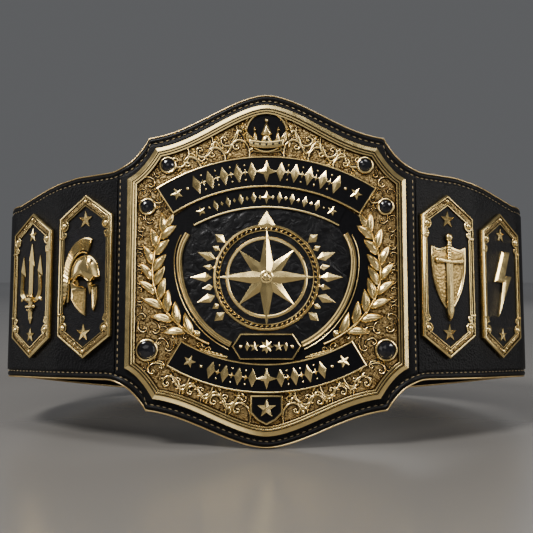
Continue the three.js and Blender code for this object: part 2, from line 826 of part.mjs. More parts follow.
// The broad line that rounds the emblem on each side, down to the plaque.
const arch = { inset: 19.8, middle: 5, high: 48, low: 68, from: 24, to: -59 };
const archReach = stemReach - arch.inset;
function makeArch(sign) {
  const steps = 12;
  const path = Array.from({ length: steps + 1 }, (_, i) => {
    const angle = radians(lerp(arch.from, arch.to, i / steps));
    const tall = angle > 0 ? arch.high : arch.low;
    return [sign * archReach * Math.cos(angle), arch.middle + tall * Math.sin(angle)];
  });
  return bar(sign > 0 ? path : [...path].reverse(), archWidth, relief, relief + archRise, 0.5);
}

// The emblem: an eight-pointed star in two rings, with rays round it.
const emblemMiddle = -7.3;
const ray = { count: 18, skip: 60, reach: 56, rise: 43, width: 5.4 };
function makeEmblem() {
  const middle = [0, emblemMiddle];
  const low = relief;
  const rings = [
    hoop(emblemRadius - 4.4, emblemRadius, low, low + emblemRise, 18, middle),
    hoop(0.71 * emblemRadius, 0.77 * emblemRadius, low, low + 0.6 * emblemRise, 12, middle),
  ];
  const long = star(4, emblemRadius - 3, 0.2 * emblemRadius, middle);
  const short = placed(star(4, 0.75 * emblemRadius, 0.2 * emblemRadius), 45, middle);
  const stars = [
    facetedTo(short, low, low + 0.4, low + 1.3 * emblemRise, middle),
    facetedTo(long, low, low + 0.4, low + 2 * emblemRise, middle),
  ];
  const rays = [];
  for (let i = 0; i < ray.count; i++) {
    const degrees = (360 * i) / ray.count;
    const upright = Math.abs(Math.sin(radians(degrees)));
    if (upright > Math.sin(radians(ray.skip))) continue;
    const tip = 1 / Math.hypot(Math.cos(radians(degrees)) / ray.reach, upright / ray.rise);
    const start = emblemRadius - 2;
    const shape = [[start, 0], [start + 3, -ray.width / 2], [tip, 0], [start + 3, ray.width / 2]];
    const crest = placed([[start + 3, 0]], degrees, middle)[0];
    rays.push(facetedTo(placed(shape, degrees, middle), low, low + 0.4, low + 0.8 * emblemRise, crest));
  }
  return fused([...rings, ...stars, ...rays]);
}

// The crown: its outline from the base up, for one half, as shares of its own size.
const crownMiddle = 103.2;
const crown = { halfWidth: 17.6, foot: -13, top: 11.4, rise: 2.2, band: 4.6 };
const crownPoints = [
  { x: 0.74, y: 0 },
  { x: 1, y: 0.62 },
  { x: 0.62, y: 0.36 },
  { x: 0.5, y: 0.6 },
  { x: 0.24, y: 0.38 },
];
function makeCrown() {
  const height = crown.top - crown.foot;
  const at = ({ x, y }) => [x * crown.halfWidth, crownMiddle + crown.foot + y * height];
  const right = crownPoints.map(at);
  const tip = [0, crownMiddle + crown.top - 2];
  const shape = [...right, tip, ...mirrored(right)];
  const base = crownMiddle + crown.foot;
  const reach = 0.74 * crown.halfWidth;
  const band = [[-reach, base], [reach, base], [reach + 1, base + crown.band], [-reach - 1, base + crown.band]];
  const balls = [at(crownPoints[1]), at(crownPoints[3]), tip].flatMap((place) => {
    const ball = (spot) => dome(1.7, relief, crown.rise + 0.6, spot);
    return place[0] > 0 ? [ball(place), ball([-place[0], place[1]])] : [ball(place)];
  });
  const body = slab(shape, relief, relief + crown.rise);
  return fused([body, slab(band, relief, relief + crown.rise + 0.8), ...balls]);
}

const badge = { top: -94, halfWidth: 12, shoulder: -107, tip: -116, star: 7, starMiddle: -103.6 };
function makeBadge() {
  const { top, halfWidth: reach, shoulder, tip } = badge;
  const shape = [[-reach, top], [-reach, shoulder], [0, tip], [reach, shoulder], [reach, top]];
  const low = relief + bannerThickness - sunk;
  const middle = [0, badge.starMiddle];
  return fused([
    signPlate(shape, relief, bannerThickness, bannerLip),
    fiveStar(badge.star, low, 1.8, middle),
  ]);
}

// A round cut stone: a table, a crown of facets and a girdle.
function makeStone(radius) {
  const low = plateBody + gap;
  const facets = 8;
  const girdle = low + 0.45 * stoneHeight;
  return loft([
    atHeight(circle(radius, facets), low),
    atHeight(circle(radius, facets), girdle),
    atHeight(circle(0.58 * radius, facets), low + stoneHeight),
  ]);
}

// Side plates

const sidePlates = [
  { name: "inner_left", sign: -1, place: innerPlateMiddle, size: 1, motif: "helmet" },
  { name: "inner_right", sign: 1, place: innerPlateMiddle, size: 1, motif: "sword" },
  { name: "outer_left", sign: -1, place: outerPlateMiddle, size: 0.93, motif: "trident" },
  { name: "outer_right", sign: 1, place: outerPlateMiddle, size: 0.93, motif: "bolt" },
];

// Six corners of a side plate, smaller by a distance on its sides and slants.
function sideOutline(size, side, slant) {
  const reach = sidePlateWidth / 2 - side;
  const top = size * sidePlateHalfHeight - slant;
  const rise = size * (sidePlateHalfHeight - sidePlateShoulder);
  const shoulder = top - (rise * reach) / (sidePlateWidth / 2);
  return [[0, -top], [reach, -shoulder], [reach, shoulder], [0, top], [-reach, shoulder], [-reach, -shoulder]];
}

const rivet = { corner: 2.6, apex: 1.7, rise: 1.5 };
const bracketRadius = 4.2;

function makeSideFrame(size) {
  const { side, slant, rise } = sideFrame;
  const outer = sideOutline(size, 0, 0);
  const inner = sideOutline(size, side, slant);
  const parts = [framed(outer, inner, sidePlateBase, rise)];
  const top = sidePlateBase + 0.75 * rise;
  for (const x of [-1, 1]) {
    for (const y of [-1, 1]) {
      const middle = [x * (inner[2][0] - 0.5), y * (inner[2][1] - 1.5)];
      const ring = (radius, z) => atHeight(circle(radius, 6, middle), z);
      const rings = [ring(bracketRadius, 0.5 * sidePlateBase), ring(bracketRadius, top), ring(rivet.corner, top)];
      parts.push(peaked(rings, [...middle, top + rivet.rise]));
    }
  }
  for (const y of [-1, 1]) {
    const middle = [0, (y * (outer[3][1] + inner[3][1])) / 2];
    parts.push(dome(rivet.apex, top - sunk, rivet.rise, middle));
  }
  return fused(parts);
}

// The black ground lies inside the frame and round the brackets.
function makeSideGround(size) {
  const { side, slant } = sideFrame;
  const outer = sideOutline(size, side + gap, slant + 2 * gap);
  const inner = sideOutline(size, side, slant);
  const low = sidePlateBase + gap;
  const cutters = [];
  for (const x of [-1, 1]) {
    for (const y of [-1, 1]) {
      const middle = [x * (inner[2][0] - 0.5), y * (inner[2][1] - 1.5)];
      cutters.push(slab(circle(bracketRadius + gap, 6, middle), low - 1, low + 2));
    }
  }
  return cutBy(slab(outer, low, low + sideInlay), cutters);
}

const sideRelief = sidePlateBase + gap + sideInlay + gap;

// Motifs, in millimetres from the middle of a side plate of full size.
const motifRise = { trident: 2.2, bolt: 3, crest: 1.8, head: 3.2, shield: 0.9, sword: 3 };

function makeTrident() {
  const tall = motifRise.trident;
  const prong = (x, top) => [
    slab([[x - 1.6, -6], [x + 1.6, -6], [x + 1.3, top - 8], [x - 1.3, top - 8]], 0, tall),
    facetedTo([[x, top - 10], [x + 3.6, top - 13.5], [x, top], [x - 3.6, top - 13.5]], 0, 0.7, tall + 0.8, [x, top - 9.5]),
  ];
  const bend = Array.from({ length: 7 }, (_, i) => {
    const angle = Math.PI + (Math.PI * i) / 6;
    return [12.2 * Math.cos(angle), -4 + 8.6 * Math.sin(angle)];
  });
  return fused([
    ...prong(-12.2, 22),
    ...prong(12.2, 22),
    ...prong(0, 32),
    bar(bend, 3.6, 0, tall),
    slab([[-1.9, -28.5], [1.9, -28.5], [1.9, -5], [-1.9, -5]], 0, tall),
    slab([[-4, -18.5], [4, -18.5], [4, -15.5], [-4, -15.5]], 0, tall + 0.6),
  ]);
}

function makeBolt() {
  const shape = [[-6.4, -25.5], [13, 7.3], [3.8, 7.9], [11.2, 27.3], [-0.5, 27.3], [-11.8, 2], [0.4, 1.7]];
  return chamfered(shape, 0, motifRise.bolt, 0.9);
}

function makeHelmet() {
  const crest = [
    [-20, -21], [-17, -17], [-14.6, -9], [-14.6, 2], [-12.4, 11.3], [-8.6, 16.6], [-2.7, 19.6],
    [3.6, 17], [5, 23], [7.2, 28.3], [1, 29.6], [-6, 28.3], [-12.8, 23], [-17.6, 14.6], [-20, 6], [-19.6, -9],
  ];
  const head = [
    [2.3, -30.4], [2.3, -15], [0.8, -11], [5.2, -8], [6.7, -13], [8.3, -8], [10.6, -10.5], [9.3, -24],
    [10.4, -26.7], [13.8, -18], [13.2, -8], [15.2, -3.5], [14.7, 3], [11.2, 11.3], [5.2, 16.4],
    [-1.7, 15.8], [-7.6, 13], [-12.2, 6.3], [-13.6, -3.8], [-11.2, -8], [-11.6, -18.8], [-4.7, -26.3],
  ];
  const eyes = [
    [[-5.6, -2], [-3, -6.6], [1.6, -7], [2.6, -4], [-1, -1]],
    [[9.6, -3.6], [10, -6.4], [13, -6], [13.4, -3]],
  ];
  const cutters = eyes.map((eye) => slab(eye, 1, 5));
  const holder = [[1.4, 13], [5.4, 13], [5.4, 19], [1.4, 19]];
  const plume = [slab(crest, 0, motifRise.crest), slab(holder, 0, motifRise.crest)];
  return cutBy(fused([...plume, chamfered(head, 0, motifRise.head, 0.7)]), cutters);
}

function makeSword() {
  const half = [[0, -28], [6.6, -20], [12.6, -10.5], [16.6, 1], [17.2, 22.5], [9, 20.4]];
  const shield = [...half, [0, 23], ...mirrored(half.slice(1))];
  const tall = motifRise.sword;
  return fused([
    signPlate(shield, 0, motifRise.shield, { width: 1.3, rise: 0.7 }),
    facetedTo([[0, -34], [3.4, -28], [3.4, 10], [-3.4, 10], [-3.4, -28]], 0, 1.6, tall, [0, -4]),
    slab([[-10.5, 9], [10.5, 9], [10.5, 13], [-10.5, 13]], 0, tall),
    slab([[-2, 12], [2, 12], [2, 27], [-2, 27]], 0, tall - 0.4),
    dome(3.2, 0, tall, [0, 29.5]),
  ]);
}

const motifs = { trident: makeTrident, bolt: makeBolt, helmet: makeHelmet, sword: makeSword };
const sideStar = 43.5; // height of a side plate's stars, over and under its middle

// Assembly

const belt = new THREE.Group();

function addPiece(parent, name, geometry, material) {
  const piece = new THREE.Mesh(geometry, material);
  piece.name = name;
  parent.add(piece);
  return piece;
}

// A group whose x runs along the strap, y up and z out of the belt.
function standOn(u, v) {
  const turn = new THREE.Group();
  turn.rotation.z = planAt(u).angle;
  turn.position.set(...onBelt(u, v, plateBack));
  const upright = new THREE.Group();
  upright.rotation.x = Math.PI / 2;
  turn.add(upright);
  belt.add(turn);
  return upright;
}

const { gold, darkGold, leather, enamel, stone } = materials;
addPiece(belt, "strap", makeStrap(), leather);
addPiece(belt, "center_panel", makePanel(-seamPlace + seamGap / 2, seamPlace - seamGap / 2), leather);
addPiece(belt, "side_panel_left", makePanel(-strapEnd, -seamPlace - seamGap / 2), leather);
addPiece(belt, "side_panel_right", makePanel(seamPlace + seamGap / 2, strapEnd), leather);
addPiece(belt, "binding_top", makeBinding(true), gold);
addPiece(belt, "binding_bottom", makeBinding(false), gold);
addPiece(belt, "binding_end_left", makeEndBinding(-1), gold);
addPiece(belt, "binding_end_right", makeEndBinding(1), gold);
studPlaces().forEach(({ x, y, z }, i) => {
  addPiece(belt, `press_stud_${i + 1}`, makeStud(), darkGold).position.set(x, y, z);
});

const front = standOn(0, 0);
addPiece(front, "main_plate", makeMainPlate(), gold);
addPiece(front, "center_ground", makeGround(), enamel);
addPiece(front, "medallion", makeMedallion(), enamel);
addPiece(front, "upper_banner", makeUpperBanner(), gold);
addPiece(front, "second_band", makeSecondBand(), gold);
addPiece(front, "lower_banner", makeLowerBanner(), gold);
addPiece(front, "plaque", makePlaque(), gold);
addPiece(front, "emblem", makeEmblem(), gold);
addPiece(front, "crown", makeCrown(), gold);
addPiece(front, "star_badge", makeBadge(), gold);
for (const { name, sign } of sides) {
  addPiece(front, `laurel_${name}`, makeLaurel(sign), gold);
  addPiece(front, `arch_${name}`, makeArch(sign), gold);
  for (const row of stones) {
    const piece = addPiece(front, `stone_${row.name}_${name}`, makeStone(stoneRadius[row.size]), stone);
    piece.position.set(...onPlate([sign * row.x, row.y]), 0);
  }
}

for (const { name, sign, place, size, motif } of sidePlates) {
  const middle = (leatherEdge(place, true) + leatherEdge(place, false)) / 2;
  const group = standOn(sign * place, middle);
  addPiece(group, `side_plate_${name}`, makeSideFrame(size), gold);
  addPiece(group, `side_ground_${name}`, makeSideGround(size), enamel);
  const piece = addPiece(group, `${motif}_motif`, motifs[motif](), gold);
  piece.position.z = sideRelief;
  for (const [end, y] of [["top", sideStar], ["foot", -sideStar]]) {
    const mark = addPiece(group, `star_${name}_${end}`, fiveStar(starRadius, 0, 1.8, [0, 0]), gold);
    mark.position.set(0, size * y, sideRelief);
  }
}

// The belt leans back until the tip of its front and its back edge touch the floor.
const frontTip = onBelt(0, leatherEdge(0, false), -leatherFront);
const backEdge = onBelt(-halfLoop, leatherEdge(halfLoop, false), leatherFront);
belt.rotation.x = -Math.atan2(backEdge[2] - frontTip[2], backEdge[1] - frontTip[1]);
belt.updateMatrixWorld(true);
const box = new THREE.Box3().setFromObject(belt, true);
const boxMiddle = box.getCenter(new THREE.Vector3());
belt.position.set(-boxMiddle.x, -boxMiddle.y, -box.min.z);

const part = new THREE.Group();
part.add(belt);

export default part;
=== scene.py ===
"""Dresses a championship title belt: a black leather strap, gilt piping and cast gold plates.

Sizes are millimetres of the belt as it stands upright, and each class turns its pieces into
the frame's metres with the belt's own lean.
"""

import logging
import math
import random
from dataclasses import dataclass, field
from enum import Enum
from typing import Callable, ClassVar, Iterable, Sequence

import bmesh
import bpy
from mathutils import Matrix, Vector
from mathutils.geometry import intersect_line_line_2d


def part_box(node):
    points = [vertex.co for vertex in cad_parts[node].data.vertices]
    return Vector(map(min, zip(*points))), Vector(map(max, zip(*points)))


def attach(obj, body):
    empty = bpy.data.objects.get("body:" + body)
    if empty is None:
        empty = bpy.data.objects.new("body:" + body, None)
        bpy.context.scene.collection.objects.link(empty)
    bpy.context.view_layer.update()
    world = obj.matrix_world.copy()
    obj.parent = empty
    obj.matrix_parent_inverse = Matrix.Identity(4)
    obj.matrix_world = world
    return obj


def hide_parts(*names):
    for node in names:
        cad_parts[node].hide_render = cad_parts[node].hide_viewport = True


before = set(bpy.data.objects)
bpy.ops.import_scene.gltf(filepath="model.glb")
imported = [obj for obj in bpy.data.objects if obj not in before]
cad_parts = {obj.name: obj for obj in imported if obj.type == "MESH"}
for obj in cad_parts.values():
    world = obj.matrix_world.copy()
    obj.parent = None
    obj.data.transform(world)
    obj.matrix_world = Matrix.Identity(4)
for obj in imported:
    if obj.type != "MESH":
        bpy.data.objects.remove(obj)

log = logging.getLogger("belt")
MM = 0.001
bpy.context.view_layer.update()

Point = tuple[float, float]
Colour = tuple[float, float, float]
Stop = tuple[float, Sequence[float]]


def mix(a: float, b: float, share: float) -> float:
    """Returns the value a share of the way from a to b."""
    return a + (b - a) * share


def smooth(share: float) -> float:
    """Returns a share eased at both ends, and held between 0 and 1."""
    t = min(1.0, max(0.0, share))
    return t * t * (3 - 2 * t)


def spaced(low: float, high: float, count: int) -> list[float]:
    """Returns count values from low to high, both included."""
    return [mix(low, high, i / (count - 1)) for i in range(count)]


def mirrored(points: Sequence[Point]) -> list[Point]:
    """Returns an outline on the other side of the upright axis, still anticlockwise."""
    return [(-x, y) for x, y in reversed(points)]


def placed(points: Iterable[Point], degrees: float, at: Point) -> list[Point]:
    """Turns points about the origin and moves them.

    Args:
        points: the points to place.
        degrees: the turn, anticlockwise.
        at: where the origin goes.

    Returns:
        The placed points.
    """
    c, s = math.cos(math.radians(degrees)), math.sin(math.radians(degrees))
    return [(at[0] + x * c - y * s, at[1] + x * s + y * c) for x, y in points]


def shifted(path: Sequence[Point], leftwards: float) -> list[Point]:
    """Returns a path moved to its left by a distance."""
    made = []
    for i, (x, y) in enumerate(path):
        (ax, ay), (bx, by) = path[max(0, i - 1)], path[min(len(path) - 1, i + 1)]
        run = math.hypot(bx - ax, by - ay)
        made.append((x - leftwards * (by - ay) / run, y + leftwards * (bx - ax) / run))
    return made


def crossed(first: list[Point], second: list[Point]) -> tuple[list[Point], list[Point]]:
    """Returns two paths cut off where the first one's end crosses the second one's start."""
    for i in reversed(range(len(first) - 1)):
        for j in range(len(second) - 1):
            meet = intersect_line_line_2d(first[i], first[i + 1], second[j], second[j + 1])
            if meet is not None:
                return first[: i + 1] + [tuple(meet)], [tuple(meet)] + second[j + 1 :]
    return first, second


def even(path: Sequence[Point], count: int) -> list[Point]:
    """Returns a number of points at even steps along a path."""
    runs = [0.0]
    for here, there in zip(path, path[1:]):
        runs.append(runs[-1] + math.dist(here, there))
    made = [path[0]]
    k = 1
    for run in spaced(0.0, runs[-1], count)[1:-1]:
        while runs[k] < run:
            k += 1
        share = (run - runs[k - 1]) / (runs[k] - runs[k - 1])
        made.append((mix(path[k - 1][0], path[k][0], share), mix(path[k - 1][1], path[k][1], share)))
    return made + [path[-1]]


def star_outline(
    points: int, outer: float, inner: float, at: Point = (0.0, 0.0), turn: float = 0.0
) -> list[Point]:
    """Returns a star's outline with its first point up.

    Args:
        points: how many points it has.
        outer: radius of its points.
        inner: radius of its notches.
        at: its middle.
        turn: degrees that it is turned by.

    Returns:
        Its corners, anticlockwise.
    """
    corners = []
    for i in range(2 * points):
        angle = math.radians(90 + turn + 180 * i / points)
        radius = inner if i % 2 else outer
        corners.append((at[0] + radius * math.cos(angle), at[1] + radius * math.sin(angle)))
    return corners


def circle_outline(radius: float, count: int, at: Point = (0.0, 0.0)) -> list[Point]:
    """Returns a circle's corners, anticlockwise."""
    angles = (2 * math.pi * i / count for i in range(count))
    return [(at[0] + radius * math.cos(a), at[1] + radius * math.sin(a)) for a in angles]


@dataclass(frozen=True)
class Stretch:
    """A stretch of the strap's route in plan, straight or evenly bent."""

    start: float
    origin: Point
    heading: float
    length: float
    turn: float

    def at(self, distance: float) -> tuple[Point, float]:
        """Returns the point and the heading at a distance along the stretch."""
        x, y = self.origin
        if self.turn == 0:
            along, across = math.cos(self.heading), math.sin(self.heading)
            return (x + distance * along, y + distance * across), self.heading
        radius = self.length / self.turn
        angle = self.heading + distance / radius
        x += radius * (math.sin(angle) - math.sin(self.heading))
        y += radius * (math.cos(self.heading) - math.cos(angle))
        return (x, y), angle


@dataclass
class BeltForm:
    """The strap's route, outline and lean, from which every other class takes its places."""

    front_flat: float = 103.5
    first_bend: tuple[float, float] = (10.0, 29.0)
    inner_flat: float = 54.0
    second_bend: tuple[float, float] = (8.0, 12.0)
    outer_flat: float = 51.0
    side_bend: tuple[float, float] = (26.0, 42.0)
    back_flat: float = 60.0
    overlap: float = 90.0
    back_droop: float = 23.0
    strap_top: float = 74.6
    strap_bottom: float = -83.8
    strap_back_top: float = 50.0
    plate_crest: float = 124.5
    plate_foot: float = -124.3
    plate_half_width: float = 105.0
    notch_width: float = 21.0
    notch_bow: float = 3.4
    notch_top: Point = (90.8, 67.2)
    notch_foot: Point = (-97.0, -74.6)
    plate_margin: float = 9.2
    shoulder_reach: float = 33.0
    leather_front: float = 2.0
    plate_back: float = 3.6
    lift_length: float = 80.0
    route: list[Stretch] = field(default_factory=list)

    def __post_init__(self) -> None:
        """Works out the route, and how the belt leans and stands in the frame."""
        self._add(self.front_flat, 0.0)
        self._add(self.first_bend[0], math.radians(self.first_bend[1]))
        self._add(self.inner_flat, 0.0)
        self._add(self.second_bend[0], math.radians(self.second_bend[1]))
        self._add(self.outer_flat, 0.0)
        self._add(self.side_bend[0], math.radians(self.side_bend[1]))
        (x, _), heading = self.route[-1].at(self.route[-1].length)
        radius = (x - self.back_flat) / math.sin(heading)
        self._add(radius * (math.pi - heading), math.pi - heading)
        self._add(self.back_flat, 0.0)
        self.half_loop = self.route[7].start + self.back_flat
        self.strap_end = self.half_loop + self.overlap / 2
        self.straight_end = self.route[5].start
        self.back_start = self.route[7].start
        self.notch_inner = self.plate_half_width - self.notch_width
        self.flare_corner = self.notch_inner + 0.6 * self.plate_margin
        self.overlap_lift = self.plate_back + self.leather_front
        tip = self.upright(0.0, self.edge(0.0, False), -self.leather_front)
        back = self.upright(-self.half_loop, self.edge(self.half_loop, False), self.leather_front)
        self.lean = math.atan2(back.z - tip.z, back.y - tip.y)
        turn = Matrix.Rotation(-self.lean, 4, "X")
        plate_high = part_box("main_plate")[1]
        crest = turn @ Vector((0.0, -self.plate_back, self.plate_crest))
        shift = Vector((0.0, plate_high[1] / MM - crest.y, -(turn @ tip).z))
        self.stand = Matrix.Scale(MM, 4) @ Matrix.Translation(shift) @ turn

    def _add(self, length: float, turn: float) -> None:
        """Adds a stretch to the end of the route."""
        if not self.route:
            self.route.append(Stretch(0.0, (0.0, 0.0), 0.0, length, turn))
            return
        last = self.route[-1]
        origin, heading = last.at(last.length)
        self.route.append(Stretch(last.start + last.length, origin, heading, length, turn))

    def plan(self, u: float) -> tuple[float, float, float]:
        """Returns x, y and heading in plan at a place along the strap, right of the middle positive."""
        distance = abs(u)
        stretch = next(s for s in reversed(self.route) if s.start <= distance + 1e-9)
        (x, y), angle = stretch.at(distance - stretch.start)
        side = math.copysign(1.0, u)
        return side * x, y, side * angle

    def lift(self, u: float) -> float:
        """Returns how far the left end is moved out, so that it lies over the right one."""
        return self.overlap_lift * smooth((-u - (self.back_start - self.lift_length)) / self.lift_length)

    def upright(self, u: float, v: float, w: float) -> Vector:
        """Returns a point of the belt before it leans.

        Args:
            u: place along the strap.
            v: height over the main plate's middle.
            w: distance out of the strap's middle surface.

        Returns:
            The point in millimetres.
        """
        x, y, angle = self.plan(u)
        out = w + self.lift(u)
        drop = self.back_droop * smooth((abs(u) - self.straight_end) / (self.back_start - self.straight_end))
        return Vector((x + out * math.sin(angle), y - out * math.cos(angle), v - drop))

    def point(self, u: float, v: float, w: float) -> Vector:
        """Returns a point of the standing belt in the frame's metres."""
        return self.stand @ self.upright(u, v, w)

    def seat(self, u: float, v: float) -> Matrix:
        """Returns the matrix of a plate's own space: x along the strap, y up, z out, in millimetres."""
        turn = Matrix.Rotation(self.plan(u)[2], 4, "Z") @ Matrix.Rotation(math.pi / 2, 4, "X")
        return self.stand @ Matrix.Translation(self.upright(u, v, self.plate_back)) @ turn

    @staticmethod
    def ogee(share: float) -> float:
        """Returns the crest's curve, from 1 in the middle to 0 at the corner."""
        s, tip = min(1.0, abs(share)) ** 0.97, 0.1
        straight = 1 - (math.hypot(s, tip) - tip) / (math.hypot(1, tip) - tip)
        return mix(straight, 0.5 + 0.5 * math.cos(math.pi * s), 0.65)

    def narrowing(self, across: float) -> float:
        """Returns the height of the strap's top edge beyond the flare."""
        start = self.flare_corner + self.shoulder_reach
        t = (across - start) / (self.straight_end - start)
        rows = [(0.0, 0.0), (0.3, 0.03), (0.62, 0.25), (1.0, 0.62)]
        share = 0.0
        if t >= 1:
            rest = (across - self.straight_end) / (self.back_start - self.straight_end) / 0.55
            share = mix(rows[-1][1], 1.0, smooth(rest))
        elif t > 0:
            i = next(k for k, row in enumerate(rows) if row[0] > t)
            (ta, a), (tb, b) = rows[i - 1], rows[i]
            share = mix(a, b, (t - ta) / (tb - ta))
        return mix(self.strap_top, self.strap_back_top, share)

    def edge(self, u: float, top: bool) -> float:
        """Returns the height of the leather's outline, top or bottom, at a place along the strap."""
        across = abs(u)
        crest = self.plate_crest + self.plate_margin if top else self.plate_foot - self.plate_margin
        corner = self.notch_top[0] + self.plate_margin if top else self.notch_foot[0] - self.plate_margin
        strap = self.narrowing(across) if top else self.strap_bottom
        if across <= self.flare_corner:
            return mix(corner, crest, self.ogee(across / self.flare_corner))
        t = min(1.0, (across - self.flare_corner) / self.shoulder_reach)
        return mix(strap, corner, (1 - t) ** 2.3)

    def inner_edge(self, u: float, top: bool, inwards: float) -> float:
        """Returns the height of a line that runs inside the outline at an even distance."""
        slope = (self.edge(u + 1, top) - self.edge(u - 1, top)) / 2
        across = inwards * math.hypot(1, slope)
        return self.edge(u, top) + (-across if top else across)

    def places(self, low: float, high: float, step: float) -> list[float]:
        """Returns places along the strap that are close together where it bends or flares."""
        marks = {low, high}
        for stretch in self.route:
            fine = 1.6 if stretch.turn and stretch.length < 30 else step
            count = max(1, round(stretch.length / fine))
            for i in range(count + 1):
                u = stretch.start + stretch.length * i / count
                marks |= {side * u for side in (-1, 1) if low < side * u < high}
        flare = (math.copysign(self.flare_corner, s) for s in (-1, 1))
        marks |= {u for u in flare if low < u < high}
        ordered = sorted(marks)
        return [u for i, u in enumerate(ordered) if i == 0 or u - ordered[i - 1] > 0.3]


FORM = BeltForm()


class Tone(Enum):
    """How far painted shade, partly standing for patina, darkens a gold finish in its recesses."""

    BRIGHT = "bright"
    ANTIQUE = "antique"
    FIELD = "field"


class NodeSheet:
    """A material's node tree, with short calls that add and join its nodes."""

    def __init__(self, name: str) -> None:
        """Starts a material of that name with an empty tree."""
        self.material = bpy.data.materials.new(name)
        self.material.use_nodes = True
        self.tree = self.material.node_tree
        self.tree.nodes.clear()
        self.output = self.tree.nodes.new("ShaderNodeOutputMaterial")
        self.shader = self.add("ShaderNodeBsdfPrincipled")
        self.link(self.shader, "BSDF", self.output, "Surface")
        self.place = self.add("ShaderNodeTexCoord")

    def add(self, kind: str, **values: object) -> bpy.types.Node:
        """Adds a node and sets its inputs by name, or its properties where no input has the name."""
        node = self.tree.nodes.new(kind)
        for key, value in values.items():
            socket = key.replace("_", " ").title().replace("Ior", "IOR")
            if socket in node.inputs:
                node.inputs[socket].default_value = value
            else:
                setattr(node, key, value)
        return node

    def link(self, source: bpy.types.Node, out: str | int, target: bpy.types.Node, into: str | int) -> None:
        """Joins an output to an input."""
        self.tree.links.new(source.outputs[out], target.inputs[into])

    def texture(self, kind: str, scale: float, **values: object) -> bpy.types.Node:
        """Adds a texture that reads the piece's own coordinates."""
        node = self.add(kind, scale=scale, **values)
        self.link(self.place, "Object", node, "Vector")
        return node

    def ramp(self, source: bpy.types.Node, out: str | int, stops: Sequence[Stop]) -> bpy.types.Node:
        """Adds a colour ramp with the given stops behind an output."""
        node = self.add("ShaderNodeValToRGB")
        ramp = node.color_ramp
        while len(ramp.elements) < len(stops):
            ramp.elements.new(0.5)
        for element, (position, colour) in zip(ramp.elements, stops):
            element.position = position
            element.color = (*colour, 1.0)
        self.link(source, out, node, "Fac")
        return node

    def product(self, source: bpy.types.Node, out: str | int, ramp: bpy.types.Node) -> bpy.types.Node:
        """Multiplies a colour by a ramp's colour."""
        node = self.add("ShaderNodeMix", data_type="RGBA", blend_type="MULTIPLY")
        node.inputs[0].default_value = 1.0
        self.link(source, out, node, 6)
        self.link(ramp, "Color", node, 7)
        return node

    def bump(self, source: bpy.types.Node, out: str | int, strength: float, distance: float,
             under: bpy.types.Node | None = None) -> bpy.types.Node:
        """Adds a bump behind a height, on top of another bump if one is given."""
        node = self.add("ShaderNodeBump", strength=strength, distance=distance)
        self.link(source, out, node, "Height")
        if under is not None:
            self.link(under, "Normal", node, "Normal")
        return node


@dataclass(frozen=True)
class GoldFinish:
    """Gold plating, polished on its heights, its recesses darkened by painted shade that partly stands for
    patina.
    """

    name: str
    tone: Tone
    light: Colour = (0.97, 0.745, 0.33)
    # dark is the painted shade colour of the recesses, partly standing for patina.
    dark: Colour = (0.025, 0.014, 0.006)
    roughness: float = 0.24
    reach: float = 0.0022
    engraved: bool = False
    hammer: float = 900.0

    def make(self) -> bpy.types.Material:
        """Returns the finish as a material."""
        sheet = NodeSheet(self.name)
        sheet.shader.inputs["Metallic"].default_value = 1.0
        # Ambient occlusion darkens the colour towards dark in recesses: painted shade, partly standing for
        # patina.
        hollow = sheet.add("ShaderNodeAmbientOcclusion", samples=5)
        hollow.inputs["Distance"].default_value = self.reach
        depth = {Tone.BRIGHT: (0.18, 0.75), Tone.ANTIQUE: (0.3, 0.92), Tone.FIELD: (0.35, 1.0)}[self.tone]
        worn = sheet.texture("ShaderNodeTexNoise", 160.0, detail=3.0)
        between = [mix(d, c, 0.32) for d, c in zip(self.dark, self.light)]
        stops = [(depth[0], self.dark), (mix(*depth, 0.55), between), (depth[1], self.light)]
        recess_shade = sheet.ramp(hollow, "AO", stops)
        tint = sheet.ramp(worn, "Fac", [(0.3, (0.86, 0.84, 0.8)), (0.7, (1.0, 1.0, 1.0))])
        colour = sheet.product(recess_shade, "Color", tint)
        rough = sheet.add("ShaderNodeMapRange", to_min=self.roughness - 0.06, to_max=self.roughness + 0.12)
        sheet.link(worn, "Fac", rough, "Value")
        sheet.link(rough, "Result", sheet.shader, "Roughness")
        grain = sheet.texture("ShaderNodeTexNoise", 1500.0, detail=2.0)
        bump = sheet.bump(grain, "Fac", 0.05, 0.0002)
        if self.tone is Tone.FIELD:
            punched = sheet.texture("ShaderNodeTexVoronoi", self.hammer)
            bump = sheet.bump(punched, "Distance", 0.75, 0.45 / self.hammer, bump)
        if self.engraved:
            swirl = sheet.texture("ShaderNodeTexNoise", 300.0, detail=0.6, distortion=1.6)
            high, deep = (1, 1, 1), (0, 0, 0)
            line = sheet.ramp(swirl, "Fac", [(0.39, high), (0.445, deep), (0.51, deep), (0.565, high)])
            bump = sheet.bump(line, "Color", 0.8, 0.0005, bump)
            # The engraved lines are also darkened in colour: painted shade in the cuts.
            cut = sheet.ramp(line, "Color", [(0.0, (0.16, 0.12, 0.09)), (0.75, (1.0, 1.0, 1.0))])
            colour = sheet.product(colour, 2, cut)
        sheet.link(colour, 2, sheet.shader, "Base Color")
        sheet.link(bump, "Normal", sheet.shader, "Normal")
        return sheet.material


